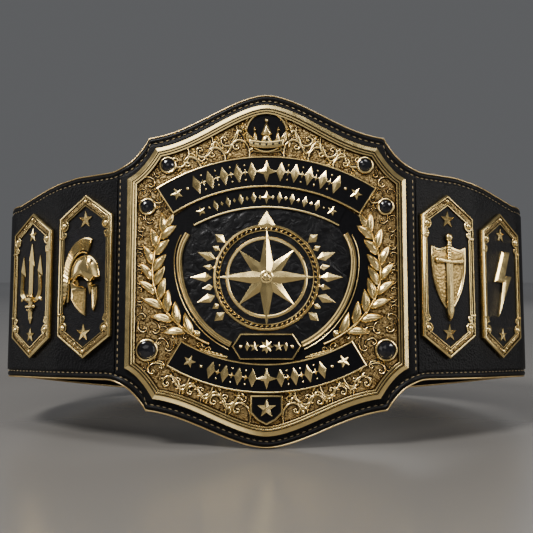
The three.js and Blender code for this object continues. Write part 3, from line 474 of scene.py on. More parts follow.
@dataclass(frozen=True)
class LeatherFinish:
    """Black leather with a pebble of a given size."""

    name: str
    pebbles: float
    relief: float
    roughness: float
    colour: Colour = (0.0028, 0.0028, 0.0033)

    def make(self) -> bpy.types.Material:
        """Returns the finish as a material."""
        sheet = NodeSheet(self.name)
        sheet.shader.inputs["Specular IOR Level"].default_value = 0.13
        warp = sheet.texture("ShaderNodeTexNoise", 0.35 * self.pebbles, detail=2.0)
        pebble = sheet.texture("ShaderNodeTexVoronoi", self.pebbles, feature="SMOOTH_F1", smoothness=0.35)
        crease = sheet.texture("ShaderNodeTexNoise", 1.7 * self.pebbles, detail=4.0)
        dark, light = ([share * c for c in self.colour] for share in (0.7, 1.5))
        shade = sheet.ramp(warp, "Fac", [(0.3, dark), (0.7, light)])
        sheet.link(shade, "Color", sheet.shader, "Base Color")
        gloss = sheet.add("ShaderNodeMapRange", to_min=self.roughness - 0.07, to_max=self.roughness + 0.13)
        sheet.link(pebble, "Distance", gloss, "Value")
        sheet.link(gloss, "Result", sheet.shader, "Roughness")
        fine = sheet.bump(crease, "Fac", 0.25, 0.4 * self.relief)
        coarse = sheet.bump(pebble, "Distance", 0.8, self.relief, fine)
        sheet.link(coarse, "Normal", sheet.shader, "Normal")
        return sheet.material


@dataclass(frozen=True)
class EnamelFinish:
    """Black enamel infill, plain or over a rough slate ground."""

    name: str
    crystal: bool = False
    colour: Colour = (0.0022, 0.0022, 0.0028)

    def make(self) -> bpy.types.Material:
        """Returns the finish as a material."""
        sheet = NodeSheet(self.name)
        speck = sheet.texture("ShaderNodeTexNoise", 900.0, detail=3.0)
        bump = sheet.bump(speck, "Fac", 0.3, 0.00025)
        dark, light = ([share * c for c in self.colour] for share in (0.6, 1.8))
        shade = sheet.ramp(speck, "Fac", [(0.3, dark), (0.75, light)])
        sheet.link(shade, "Color", sheet.shader, "Base Color")
        sheet.shader.inputs["Roughness"].default_value = 0.34
        sheet.shader.inputs["Specular IOR Level"].default_value = 0.3 if self.crystal else 0.14
        if self.crystal:
            slate = sheet.texture("ShaderNodeTexNoise", 120.0, detail=5.0, distortion=1.1)
            bump = sheet.bump(slate, "Fac", 0.42, 0.003, bump)
        sheet.link(bump, "Normal", sheet.shader, "Normal")
        return sheet.material


@dataclass(frozen=True)
class StoneFinish:
    """A black cut stone, highly polished."""

    name: str = "black_stone"

    def make(self) -> bpy.types.Material:
        """Returns the finish as a material."""
        sheet = NodeSheet(self.name)
        cloud = sheet.texture("ShaderNodeTexNoise", 250.0)
        shade = sheet.ramp(cloud, "Fac", [(0.3, (0.003, 0.003, 0.004)), (0.8, (0.01, 0.01, 0.013))])
        sheet.link(shade, "Color", sheet.shader, "Base Color")
        sheet.shader.inputs["Roughness"].default_value = 0.03
        sheet.shader.inputs["IOR"].default_value = 1.62
        return sheet.material


@dataclass(frozen=True)
class ThreadFinish:
    """Waxed cream and gold sewing thread."""

    name: str = "waxed_thread"

    def make(self) -> bpy.types.Material:
        """Returns the finish as a material."""
        sheet = NodeSheet(self.name)
        twist = sheet.texture("ShaderNodeTexWave", 1400.0, distortion=1.5)
        shade = sheet.ramp(twist, "Fac", [(0.1, (0.17, 0.12, 0.055)), (0.9, (0.46, 0.36, 0.2))])
        sheet.link(shade, "Color", sheet.shader, "Base Color")
        sheet.shader.inputs["Roughness"].default_value = 0.55
        bump = sheet.bump(twist, "Fac", 0.5, 0.0002)
        sheet.link(bump, "Normal", sheet.shader, "Normal")
        return sheet.material


@dataclass(frozen=True)
class FloorFinish:
    """A plain pale studio floor whose colour grows lighter with distance, painted light that makes up for the
    lamps reaching the far floor less.
    """

    name: str = "pale_floor"

    def make(self) -> bpy.types.Material:
        """Returns the finish as a material."""
        sheet = NodeSheet(self.name)
        away = sheet.add("ShaderNodeVectorMath", operation="LENGTH")
        sheet.link(sheet.place, "Object", away, 0)
        share = sheet.add("ShaderNodeMapRange", from_min=0.4, from_max=4.5)
        sheet.link(away, "Value", share, "Value")
        # Darker near the belt and lighter far off: painted light in place of the lamps' falloff.
        near, middle, far = (0.15, 0.141, 0.13), (0.24, 0.236, 0.23), (0.62, 0.62, 0.63)
        shade = sheet.ramp(share, "Result", [(0.0, near), (0.3, middle), (1.0, far)])
        sheet.link(shade, "Color", sheet.shader, "Base Color")
        sheet.shader.inputs["Roughness"].default_value = 0.26
        return sheet.material


class Finishes:
    """Every finish of the belt, made once."""

    def __init__(self) -> None:
        """Makes the materials."""
        self.polished = GoldFinish("polished_gold", Tone.BRIGHT, roughness=0.18).make()
        # Groove floors get a near-black brown gold: painted shade in the grooves.
        groove_shade_brown = (0.035, 0.018, 0.007)
        self.recess = GoldFinish("groove_shade_gold", Tone.ANTIQUE, light=groove_shade_brown, roughness=0.5).make()
        self.antique = GoldFinish("antique_gold", Tone.ANTIQUE, roughness=0.26).make()
        self.ground = GoldFinish(
            "engraved_gold", Tone.FIELD, light=(0.38, 0.27, 0.115), roughness=0.36, engraved=True
        ).make()
        self.piping = GoldFinish("gilt_piping", Tone.BRIGHT, light=(0.8, 0.58, 0.27), roughness=0.3).make()
        self.rim = LeatherFinish("rim_leather", 2600.0, 0.00008, 0.36).make()
        self.center = LeatherFinish("center_leather", 1500.0, 0.00018, 0.42).make()
        self.pebbled = LeatherFinish("pebbled_leather", 620.0, 0.00042, 0.42).make()
        self.enamel = EnamelFinish("black_enamel").make()
        self.crystal = EnamelFinish("crystal_enamel", crystal=True).make()
        black = (0.006, 0.006, 0.007)
        self.stippled = LeatherFinish("stippled_ground", 900.0, 0.0003, 0.5, black).make()
        self.hammered = GoldFinish(
            "hammered_gold", Tone.FIELD, light=(0.5, 0.35, 0.13), roughness=0.34, hammer=520.0
        ).make()
        self.stone = StoneFinish().make()
        self.thread = ThreadFinish().make()
        self.floor = FloorFinish().make()


class Slot(Enum):
    """The record's material slots."""

    STRAP = "strap_leather"
    PANEL = "panel_leather"
    PIPING = "gilt_binding"
    STUD = "stud_metal"
    GOLD = "gold"
    ENAMEL = "black_enamel"
    STONE = "black_stone"


@dataclass(frozen=True)
class Arc:
    """An arc about a point on the plate's upright axis, over it or under it."""

    centre: float
    side: int

    def at(self, radius: float, degrees: float) -> Point:
        """Returns the point at a radius and an angle from the upright."""
        angle = math.radians(degrees)
        return radius * math.sin(angle), self.centre + self.side * radius * math.cos(angle)

    def turn(self, degrees: float) -> float:
        """Returns how far a motif turns to stand on the arc at an angle."""
        return -self.side * degrees

    def band(self, outer: float, inner: float, half: float, steps: int = 44) -> list[Point]:
        """Returns the outline of a band between two radii, anticlockwise."""
        low = [self.at(inner, a) for a in spaced(-half, half, steps)]
        high = [self.at(outer, a) for a in spaced(half, -half, steps)]
        outline = low + high
        return outline if self.side > 0 else outline[::-1]

    def line(self, radius: float, half: float, steps: int = 44) -> list[Point]:
        """Returns points along the arc."""
        return [self.at(radius, a) for a in spaced(-half, half, steps)]


UPPER_ARC = Arc(-67.7, 1)
LOWER_ARC = Arc(53.2, -1)


class Workpiece:
    """A mesh in the making, in the millimetres of a plate's own space or of the belt."""

    def __init__(self) -> None:
        """Starts with an empty mesh."""
        self.mesh = bmesh.new()

    def join(self, *parts: "Workpiece") -> "Workpiece":
        """Takes in other meshes, which are used up, and returns the whole."""
        for part in parts:
            mesh = bpy.data.meshes.new("part")
            part.mesh.to_mesh(mesh)
            part.mesh.free()
            self.mesh.from_mesh(mesh)
            bpy.data.meshes.remove(mesh)
        return self

    def stamp(self, shape: "Workpiece", seats: Iterable[Matrix]) -> "Workpiece":
        """Adds a copy of a small shape at each matrix; the shape is used up.

        Args:
            shape: the shape to repeat.
            seats: where each copy goes.

        Returns:
            The whole.
        """
        mesh = bpy.data.meshes.new("stamp")
        shape.mesh.to_mesh(mesh)
        shape.mesh.free()
        for seat in seats:
            copy = mesh.copy()
            copy.transform(seat)
            self.mesh.from_mesh(copy)
            bpy.data.meshes.remove(copy)
        bpy.data.meshes.remove(mesh)
        return self

    def mirror(self) -> "Workpiece":
        """Adds the other half, across the plate's upright axis."""
        self.mesh.faces.ensure_lookup_table()
        bmesh.ops.recalc_face_normals(self.mesh, faces=self.mesh.faces)
        everything = self.mesh.verts[:] + self.mesh.edges[:] + self.mesh.faces[:]
        made = bmesh.ops.duplicate(self.mesh, geom=everything)["geom"]
        verts = [item for item in made if isinstance(item, bmesh.types.BMVert)]
        faces = [item for item in made if isinstance(item, bmesh.types.BMFace)]
        bmesh.ops.scale(self.mesh, verts=verts, vec=(-1, 1, 1))
        bmesh.ops.reverse_faces(self.mesh, faces=faces)
        return self

    def sheet(self, columns: int, rows: int, at: Callable[[int, int], Vector], material: int = 0) -> list:
        """Adds a grid whose points are put where a function says.

        Args:
            columns: cells across.
            rows: cells along.
            at: gives the place of a point from its column and row.
            material: index of its material.

        Returns:
            The grid's points.
        """
        made = bmesh.ops.create_grid(self.mesh, x_segments=columns, y_segments=rows, size=1.0)["verts"]
        for vert in made:
            column = round((vert.co.x + 1) / 2 * columns)
            row = round((vert.co.y + 1) / 2 * rows)
            vert.co = at(column, row)
        self.paint({face for vert in made for face in vert.link_faces}, material)
        return made

    def tube(
        self, sections: Sequence[Sequence[Vector]], material: int = 0, closed: bool = False
    ) -> "Workpiece":
        """Adds a closed skin through equal rings of points, capped at both ends or joined to itself.

        Args:
            sections: the rings.
            material: index of its material.
            closed: whether the last ring joins the first.

        Returns:
            The whole.
        """
        count = len(sections[0])
        rows = len(sections) if closed else len(sections) - 1

        def at(column: int, row: int) -> Vector:
            """Returns a ring's point."""
            return Vector(sections[row % len(sections)][column % count])

        verts = self.sheet(count, rows, at, material)
        bmesh.ops.remove_doubles(self.mesh, verts=verts, dist=1e-5)
        if not closed:
            rim = [e for e in {e for v in verts if v.is_valid for e in v.link_edges} if e.is_boundary]
            if rim:
                self.paint(bmesh.ops.holes_fill(self.mesh, edges=rim)["faces"], material)
        return self

    def paint(self, faces: Iterable, material: int) -> None:
        """Gives faces a material's index."""
        for face in faces:
            face.material_index = material

    def block(self, outline: Sequence[Point], low: float, high: float, material: int = 0):
        """Adds a block of an outline, and returns its top face.

        Args:
            outline: its corners, anticlockwise.
            low: height of its underside.
            high: height of its top.
            material: index of its material.

        Returns:
            The top face.
        """
        verts = [self.mesh.verts.new((x, y, low)) for x, y in outline]
        base = self.mesh.faces.new(verts)
        made = bmesh.ops.extrude_face_region(self.mesh, geom=[base], use_keep_orig=True)["geom"]
        top = next(item for item in made if isinstance(item, bmesh.types.BMFace))
        bmesh.ops.translate(self.mesh, verts=list(top.verts), vec=(0, 0, high - low))
        base.normal_flip()
        self.paint({face for vert in verts for face in vert.link_faces} | {top}, material)
        return top

    def step(self, face, inwards: float, rise: float, material: int | None = None):
        """Insets a top face by a distance and moves it up or down, and returns it.

        Args:
            face: the top face.
            inwards: how far it shrinks.
            rise: how far it moves up.
            material: index of the new ring's material, if it changes.

        Returns:
            The same face.
        """
        made = bmesh.ops.inset_region(
            self.mesh, faces=[face], thickness=inwards, depth=0.0, use_even_offset=True, use_boundary=True
        )["faces"]
        bmesh.ops.translate(self.mesh, verts=list(face.verts), vec=(0, 0, rise))
        if material is not None:
            self.paint(made, material)
        return face

    def terrace(self, outline: Sequence[Point], low: float, high: float, steps: Iterable[tuple],
                inside: int | None = None) -> "Workpiece":
        """Adds a block with a stepped front.

        Args:
            outline: its corners, anticlockwise.
            low: height of its underside.
            high: height of its outer wall.
            steps: how far each step goes inwards, and up, and its material if it changes.
            inside: index of the last step's own material.

        Returns:
            The whole.
        """
        face = self.block(outline, low, high)
        for row in steps:
            self.step(face, *row)
        if inside is not None:
            face.material_index = inside
        return self

    def cut(self, outline: Sequence[Point], low: float, edge: float, apex: float, at: Point,
            border: float = 0.0) -> "Workpiece":
        """Adds a block whose front is cut into facets that meet over a point.

        Args:
            outline: its corners, anticlockwise.
            low: height of its underside.
            edge: height of its outer wall.
            apex: height of the point.
            at: where the point is.
            border: width of a flat edge round the facets.

        Returns:
            The whole.
        """
        face = self.block(outline, low, edge)
        if border:
            self.step(face, border, 0.5 * border)
        middle = bmesh.ops.poke(self.mesh, faces=[face])["verts"][0]
        middle.co = Vector((at[0], at[1], apex))
        return self

    def stroke(self, path: Sequence[Point], width: Callable[[float], float] | float, low: float, rise: float,
               rows: Sequence[Point] | None = None) -> "Workpiece":
        """Adds a raised line that follows a flat path.

        Args:
            path: its points.
            width: its width, or a function that gives it at a share of its length.
            low: height of its underside.
            rise: how high it stands.
            rows: its section, as shares of half its width and of its rise; rounded if left out.

        Returns:
            The whole.
        """
        half_rows = rows or [(1.0, 0.0), (0.96, 0.45), (0.6, 0.85), (0.0, 1.0)]
        shape = list(half_rows) + [(-share, up) for share, up in reversed(half_rows) if share > 0]
        sections = []
        last = len(path) - 1
        for i, (x, y) in enumerate(path):
            ax, ay = path[max(0, i - 1)]
            bx, by = path[min(last, i + 1)]
            span = math.hypot(bx - ax, by - ay) or 1.0
            half = (width(i / last) if callable(width) else width) / 2
            nx, ny = (by - ay) / span, -(bx - ax) / span
            height = rise if rows or not callable(width) else rise * min(1.0, 0.35 + half)
            row = [Vector((x + nx * half * s, y + ny * half * s, low + up * height)) for s, up in shape]
            sections.append(row)
        return self.tube(sections)

    def leaf(
        self, at: Point, degrees: float, size: Point, low: float, rise: float, bend: float = 0.0
    ) -> "Workpiece":
        """Adds a pointed, domed leaf with a crease along its middle.

        Args:
            at: its root.
            degrees: the way that it points.
            size: its length and width.
            low: height of its underside.
            rise: its height.
            bend: how far its middle swings sideways.

        Returns:
            The whole.
        """
        length, width = size
        half = [(0.12, 1.0), (0.64, 0.72), (0.96, 0.3), (1, 0.0)]
        rows = [(-t, up) for t, up in reversed(half)] + [(0, 0.9)] + half
        sections = []
        for s in spaced(0.0, 1.0, 9):
            full = max(0.0, math.sin(math.pi * s**0.82)) ** 0.72
            swing = bend * math.sin(math.pi * s)
            points = placed([(length * s, t * width * full / 2 + swing) for t, _ in rows], degrees, at)
            heights = [low + rise * up * (0.25 + 0.75 * full) * (1 - 0.2 * s) for _, up in rows]
            sections.append([Vector((x, y, z)) for (x, y), z in zip(points, heights)])
        return self.tube(sections)

    def ball(self, at: Point, low: float, radius: float, rise: float, material: int = 0,
             sides: int = 14) -> "Workpiece":
        """Adds a rounded head over a point.

        Args:
            at: its middle.
            low: height of its middle.
            radius: its radius.
            rise: its height.
            material: index of its material.
            sides: how many sides it has.

        Returns:
            The whole.
        """
        spot = Matrix.Translation((at[0], at[1], low)) @ Matrix.Diagonal((radius, radius, rise, 1.0))
        made = bmesh.ops.create_uvsphere(
            self.mesh, u_segments=sides, v_segments=8, radius=1.0, matrix=spot
        )["verts"]
        self.paint({face for vert in made for face in vert.link_faces}, material)
        return self

    def hoop(self, at: Point, section: Sequence[Point], sides: int, material: int = 0,
             start: float = 0.0, sweep: float = 360.0) -> "Workpiece":
        """Adds a ring, or a part of one, from its section as radius and height.

        Args:
            at: its middle.
            section: the section's corners.
            sides: how many sides it has.
            material: index of its material.
            start: where a part starts, in degrees.
            sweep: how far it reaches.

        Returns:
            The whole.
        """
        whole = sweep >= 360
        rings = []
        for i in range(sides if whole else sides + 1):
            angle = math.radians(start + sweep * i / sides)
            c, s = math.cos(angle), math.sin(angle)
            rings.append([Vector((at[0] + r * c, at[1] + r * s, z)) for r, z in section])
        return self.tube(rings, material, closed=whole)

    def finish(
        self, name: str, materials: Sequence[bpy.types.Material], slot: Slot, seat: Matrix | None = None,
        stands_for: Sequence[str] = (), round_to: float = 32.0
    ) -> None:
        """Ends the piece: places it, makes it an object and reports it.

        Args:
            name: the object's name.
            materials: its materials, by index.
            slot: the record's slot; not used.
            seat: matrix into the frame, or none where the points are already there.
            stands_for: the CAD nodes that it replaces.
            round_to: edges flatter than these degrees are shaded smooth.
        """
        bmesh.ops.recalc_face_normals(self.mesh, faces=self.mesh.faces)
        if seat is not None:
            bmesh.ops.transform(self.mesh, matrix=seat, verts=self.mesh.verts)
        mesh = bpy.data.meshes.new(name)
        self.mesh.to_mesh(mesh)
        self.mesh.free()
        for material in materials:
            mesh.materials.append(material)
        mesh.shade_smooth()
        mesh.set_sharp_from_angle(angle=math.radians(round_to))
        piece = bpy.data.objects.new(name, mesh)
        bpy.context.scene.collection.objects.link(piece)
        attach(piece, "root")
        if stands_for:
            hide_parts(*stands_for)
        log.info("%s: %d faces", name, len(mesh.polygons))


@dataclass
class Assembly:
    """A sub-assembly, with the finishes and the form that all of them share."""

    finishes: Finishes
    form: ClassVar[BeltForm] = FORM

    def applied(self, piece: Workpiece, name: str, stands_for: Sequence[str], round_to: float,
                second: bpy.types.Material | None = None) -> None:
        """Finishes a gold piece on the main plate.

        Args:
            piece: the piece, in the main plate's own space.
            name: its name in the scene.
            stands_for: the nodes that it stands for.
            round_to: angle up to which its edges are shaded round, in degrees.
            second: the finish of its recesses, if it has any.
        """
        finishes = [self.finishes.polished] + ([second] if second else [])
        piece.finish(name, finishes, Slot.GOLD, self.form.seat(0, 0), stands_for, round_to)


@dataclass
class Leather(Assembly):
    """The strap with its rolled rim, the sewn overlay panels, the piping and the stitches."""

    edge_start: float = 1.3
    panel_start: float = 6.4
    panel_back: float = 2.3
    panel_front: float = 3.3
    seam: float = 112.0
    seam_gap: float = 0.6
    seam_stitches: float = -2.0
    stitch_line: float = 5.3
    stitch_pitch: float = 4.7
    stitch_length: float = 2.9
    stitch_radius: float = 0.36
    piping_width: float = 1.3

    def rim(self) -> list[Point]:
        """Returns the rolled rim's section: distance in from the outline, and height of the front."""
        roll = [(1.3, 1.0), (1.5, 2.1), (2.2, 2.7), (3.2, 2.85), (4.1, 2.6), (4.6, 2.1)]
        return roll + [(5.2, 1.95), (5.8, 2.0), (6.3, 2.1)]

    def strap(self) -> None:
        """Makes the strap with the rolled rim along both edges."""
        piece = Workpiece()
        places = self.form.places(-self.form.strap_end, self.form.strap_end, 3.0)
        back = -self.form.leather_front
        rim = self.rim()
        inner = [(1.9, back), (12.0, back)]
        sections = []
        for u in places:
            half = []
            for top in (False, True):
                rows = [(self.edge_start, back + 0.5), *rim, (14.0, 2.0)]
                line = [(self.form.inner_edge(u, top, d), w) for d, w in rows]
                line = [(self.form.inner_edge(u, top, d), w) for d, w in reversed(inner)] + line
                half.append(line if not top else list(reversed(line)))
            sections.append([self.form.point(u, v, w) for v, w in half[0] + half[1]])
        piece.tube(sections)
        piece.finish("strap_body", [self.finishes.rim], Slot.STRAP, None, ["strap"], 40.0)

    def panel(self, name: str, low: float, high: float, material: bpy.types.Material, node: str) -> None:
        """Makes an overlay panel with rounded edges.

        Args:
            name: the object's name.
            low: place along the strap where it starts.
            high: place where it ends.
            material: its leather.
            node: the CAD node that it replaces.
        """
        piece = Workpiece()
        places = self.form.places(low, high, 3.0)
        places = [low, low + 0.35, *[u for u in places if low + 0.5 < u < high - 0.5], high - 0.35, high]
        rows = 24
        sections = []
        for i, u in enumerate(places):
            ends = i in (0, len(places) - 1)
            front = self.panel_front - (0.35 if ends else 0.0)
            foot = self.form.inner_edge(u, False, self.panel_start)
            head = self.form.inner_edge(u, True, self.panel_start)
            heights = [
                foot, foot + 0.12, foot + 0.5, *spaced(foot + 2, head - 2, rows), head - 0.5, head - 0.12,
                head
            ]
            fronts = [front - 0.55, front - 0.2, front, *[front] * rows, front, front - 0.2, front - 0.55]
            line = [(foot, self.panel_back), *zip(heights, fronts), (head, self.panel_back)]
            sections.append([self.form.point(u, v, w) for v, w in line])
        piece.tube(sections)
        piece.finish(name, [material], Slot.PANEL, None, [node], 50.0)

    def piping(self, top: bool) -> None:
        """Makes the gilt piping along one edge, a little fuller in front."""
        piece = Workpiece()
        width = self.piping_width
        front = self.form.leather_front
        places = self.form.places(-self.form.strap_end, self.form.strap_end, 3.0)
        profile = [
            (0.9, -2.0), (0.35, -1.9), (0.05, -1.2), (0.0, 0.0), (0.05, 1.5), (0.3, 2.15), (0.75, 2.45)
        ]
        profile += [(1.15, 2.3), (width, front), (width, -1.8)]
        sections = [
            [self.form.point(u, self.form.inner_edge(u, top, d), w) for d, w in profile] for u in places
        ]
        piece.tube(sections)
        side = "top" if top else "bottom"
        piece.finish(f"piping_{side}", [self.finishes.piping], Slot.PIPING, None, [f"binding_{side}"], 60.0)

    def edge_path(self, top: bool, inwards: float, low: float, high: float) -> list[tuple[float, float]]:
        """Returns places and heights along an inner line of the outline, a half millimetre apart."""
        count = int((high - low) / 0.5)
        return [(u, self.form.inner_edge(u, top, inwards)) for u in spaced(low, high, count)]

    def sew(self, piece: Workpiece, line: Sequence[tuple[float, float]], out: float) -> int:
        """Sews stitches along a line of places and heights.

        Args:
            piece: the mesh that holds the stitches.
            line: places along the strap and heights.
            out: how far out of the strap's middle the stitches lie.

        Returns:
            How many stitches there are.
        """
        points = [self.form.point(u, v, out) for u, v in line]
        outward = [self.form.point(u, v, out + 1) - p for (u, v), p in zip(line, points)]
        travelled, goal = 0.0, 0.5 * self.stitch_pitch
        seats = []
        for i in range(1, len(points)):
            along = points[i] - points[i - 1]
            travelled += along.length / MM
            if travelled < goal:
                continue
            goal += self.stitch_pitch
            x = along.normalized()
            z = (outward[i] - outward[i].dot(x) * x).normalized()
            turn = Matrix((x, z.cross(x), z)).transposed().to_4x4()
            size = Matrix.Diagonal(
                (0.5 * self.stitch_length, self.stitch_radius, 0.8 * self.stitch_radius, 1.0)
            )
            seats.append(Matrix.Translation(points[i]) @ turn @ Matrix.Scale(MM, 4) @ size)
        stitch = Workpiece()
        bmesh.ops.create_uvsphere(stitch.mesh, u_segments=6, v_segments=6, radius=1.0)
        piece.stamp(stitch, seats)
        return len(seats)

    def stitches(self) -> None:
        """Sews both edges and both seams."""
        piece = Workpiece()
        end = self.form.strap_end - 4
        count = 0
        for top in (False, True):
            count += self.sew(piece, self.edge_path(top, self.stitch_line, -end, end), 2.45)
        for side in (-1, 1):
            u = side * (self.seam + self.seam_stitches)
            foot = self.form.inner_edge(u, False, self.panel_start + 1.5)
            head = self.form.inner_edge(u, True, self.panel_start + 1.5)
            line = [(u, v) for v in spaced(foot, head, int((head - foot) / 0.5))]
            count += self.sew(piece, line, self.panel_front + 0.1)
        log.info("stitches: %d", count)
        piece.finish("stitches", [self.finishes.thread], Slot.PIPING, None, (), 80.0)

    def build(self) -> None:
        """Makes all the leather, piping and thread."""
        half = self.seam_gap / 2
        self.strap()
        self.panel(
            "center_leather", -self.seam + half, self.seam - half, self.finishes.center, "center_panel"
        )
        end = self.form.strap_end
        self.panel("side_leather_left", -end, -self.seam - half, self.finishes.pebbled, "side_panel_left")
        self.panel("side_leather_right", self.seam + half, end, self.finishes.pebbled, "side_panel_right")
        self.piping(True)
        self.piping(False)
        self.stitches()


@dataclass
class MainPlate(Assembly):
    """The tall cast plate: its grooved frame, the engraved field with scrolls, and the stones."""

    field_height: float = 2.8
    frame_width: float = 8.0
    relief: float = 2.75
    stones: tuple[tuple[str, float, float, float], ...] = (
        ("upper", 0.708, 0.623, 4.8),
        ("shoulder", 0.852, 0.369, 4.8),
        ("lower", 0.842, -0.492, 6.6),
    )

    def edge(self, x: float, top: bool) -> float:
        """Returns the height of the plate's outline over a place across it."""
        form = self.form
        crest = form.plate_crest if top else form.plate_foot
        inner, outer = form.notch_top if top else form.notch_foot
        across = abs(x)
        if across <= form.notch_inner:
            return mix(inner, crest, form.ogee(across / form.notch_inner))
        t = min(1.0, (across - form.notch_inner) / form.notch_width)
        bow = form.notch_bow * 4 * t * (1 - t)
        return mix(inner, outer, t) + (-bow if top else bow)

    def outline(self, inwards: float = 0.0) -> list[Point]:
        """Returns the plate's outline, smaller by a distance, anticlockwise."""
        near, far = self.form.notch_inner, self.form.plate_half_width
        foot = [(x, self.edge(x, False)) for x in spaced(0, near, 60)]
        low_notch = [(x, self.edge(x, False)) for x in spaced(near, far, 14)]
        high_notch = [(x, self.edge(x, True)) for x in spaced(far, near, 14)]
        crest = [(x, self.edge(x, True)) for x in spaced(near, 0, 60)]
        wall = [low_notch[-1], high_notch[0]]
        runs = [shifted(run, inwards) for run in (foot, low_notch, wall, high_notch, crest)]
        for i in range(len(runs) - 1):
            runs[i : i + 2] = crossed(*runs[i : i + 2])
        right = []
        for run, count in zip(runs, (36, 9, 3, 9, 36)):
            right += even(run, count)[:-1]
        right.append(runs[-1][-1])
        return right + mirrored(right[1:-1])

    def body(self) -> None:
        """Makes the body with its broad bevel, its grooved frame and its engraved field."""
        rows = [(0.0, 0.0), (0.0, 2.1), (0.2, 2.9), (3.1, 4.75), (3.3, 5.1), (3.75, 5.15)]
        for start, top in ((3.75, 5.0), (5.6, 4.7)):
            rows += [(start + 0.1, top - 1.0), (start + 0.6, top - 1.0), (start + 0.7, top - 0.15)]
            rows += [(start + 0.85, top), (start + 1.7, top), (start + 1.85, top - 0.15)]
        rows += [(7.55, 2.55), (8.3, 2.55), (8.4, self.field_height)]
        piece = Workpiece().tube(
            [[Vector((x, y, z)) for x, y in self.outline(inwards)] for inwards, z in rows]
        )
        for face in piece.mesh.faces:
            middle = face.calc_center_median()
            level = max(v.co.z for v in face.verts) - min(v.co.z for v in face.verts) < 0.01
            if len(face.verts) > 4:
                face.material_index = 1
            # Level floors of the frame's grooves, and of its step down to the field, take the dark brown
            # gold: painted shade.
            elif level and min(abs(middle.z - z) for z in (4.0, 3.7, 2.55)) < 0.02:
                face.material_index = 2
        seat = self.form.seat(0, 0)
        finishes = [self.finishes.polished, self.finishes.ground, self.finishes.recess]
        piece.finish("main_plate_body", finishes, Slot.GOLD, seat, ["main_plate"], 24.0)

    def volute(self, eye: Point, size: float, heading: float, curl: int) -> list[Point]:
        """Returns the path of a scroll that winds up into its eye.

        Args:
            eye: where it ends.
            size: its radius.
            heading: degrees of the way that its stem sets out.
            curl: 1 if it winds anticlockwise, -1 if clockwise.

        Returns:
            Its points from the stem's foot to the eye.
        """
        count, turns = 26, 1.45
        x = y = 0.0
        angle = math.radians(heading)
        path = [(x, y)]
        for i in range(count):
            s = i / count
            pace = size * (0.33 * (1 - s) ** 0.9 + 0.03)
            angle += curl * 2 * math.pi * turns / count * (0.3 + 1.4 * s)
            x += pace * math.cos(angle)
            y += pace * math.sin(angle)
            path.append((x, y))
        return [(px - x + eye[0], py - y + eye[1]) for px, py in path]

    def scroll(self, gold: Workpiece, shade: Workpiece, eye: Point, size: float, heading: float,
               curl: int) -> None:
        """Adds one scroll with its leaves, and a flat black stroke round it as painted shadow.

        Args:
            gold: takes the raised metal.
            shade: takes the black strokes under it, painted shadow.
            eye: where it winds up.
            size: its radius.
            heading: degrees of the way that its stem sets out.
            curl: 1 if it winds anticlockwise, -1 if clockwise.
        """
        path = self.volute(eye, size, heading, curl)
        thick = 0.27 * size

        def width(share: float) -> float:
            """Returns the stem's width."""
            return thick * (0.3 + 0.7 * math.sin(math.pi * min(1.0, 0.08 + 0.92 * share)) ** 0.7)

        low = self.relief
        gold.stroke(path, width, low, 1.25)
        gold.ball(path[-1], low, 0.16 * size, 1.3, sides=8)
        flat = [(1.0, 0.0), (1.0, 1.0)]
        # A flat black stroke a little wider than the stem lies under it: painted shadow round the scroll.
        shade.stroke(path[::2], lambda s: width(s) + 1.1, low - 0.1, 0.25, flat)
        for share, spread, long in ((0.1, 48, 0.62), (0.3, 55, 0.55), (0.5, 62, 0.42)):
            i = round(share * (len(path) - 2))
            (x, y), (bx, by) = path[i], path[i + 1]
            way = math.degrees(math.atan2(by - y, bx - x)) - curl * spread
            gold.leaf((x, y), way, (long * size, 0.2 * size), low, 1.0, curl * 0.08 * size)
            tip = placed([(long * size, 0.0)], way, (x, y))[0]
            # A flat black stroke under each leaf: painted shadow.
            shade.stroke([(x, y), tip], 0.2 * size + 0.9, low - 0.1, 0.22, flat)

    def room(self, x: float, top: bool) -> Point:
        """Returns the lowest and highest place of the field over or under a banner, at a place across."""
        slope = (self.edge(x + 1, top) - self.edge(x - 1, top)) / 2
        inner = (self.frame_width + 0.9) * math.hypot(1, slope)
        if top:
            return -67.7 + math.sqrt(153.0**2 - x**2), self.edge(x, True) - inner
        return self.edge(x, False) + inner, 53.2 - math.sqrt(147.0**2 - x**2)

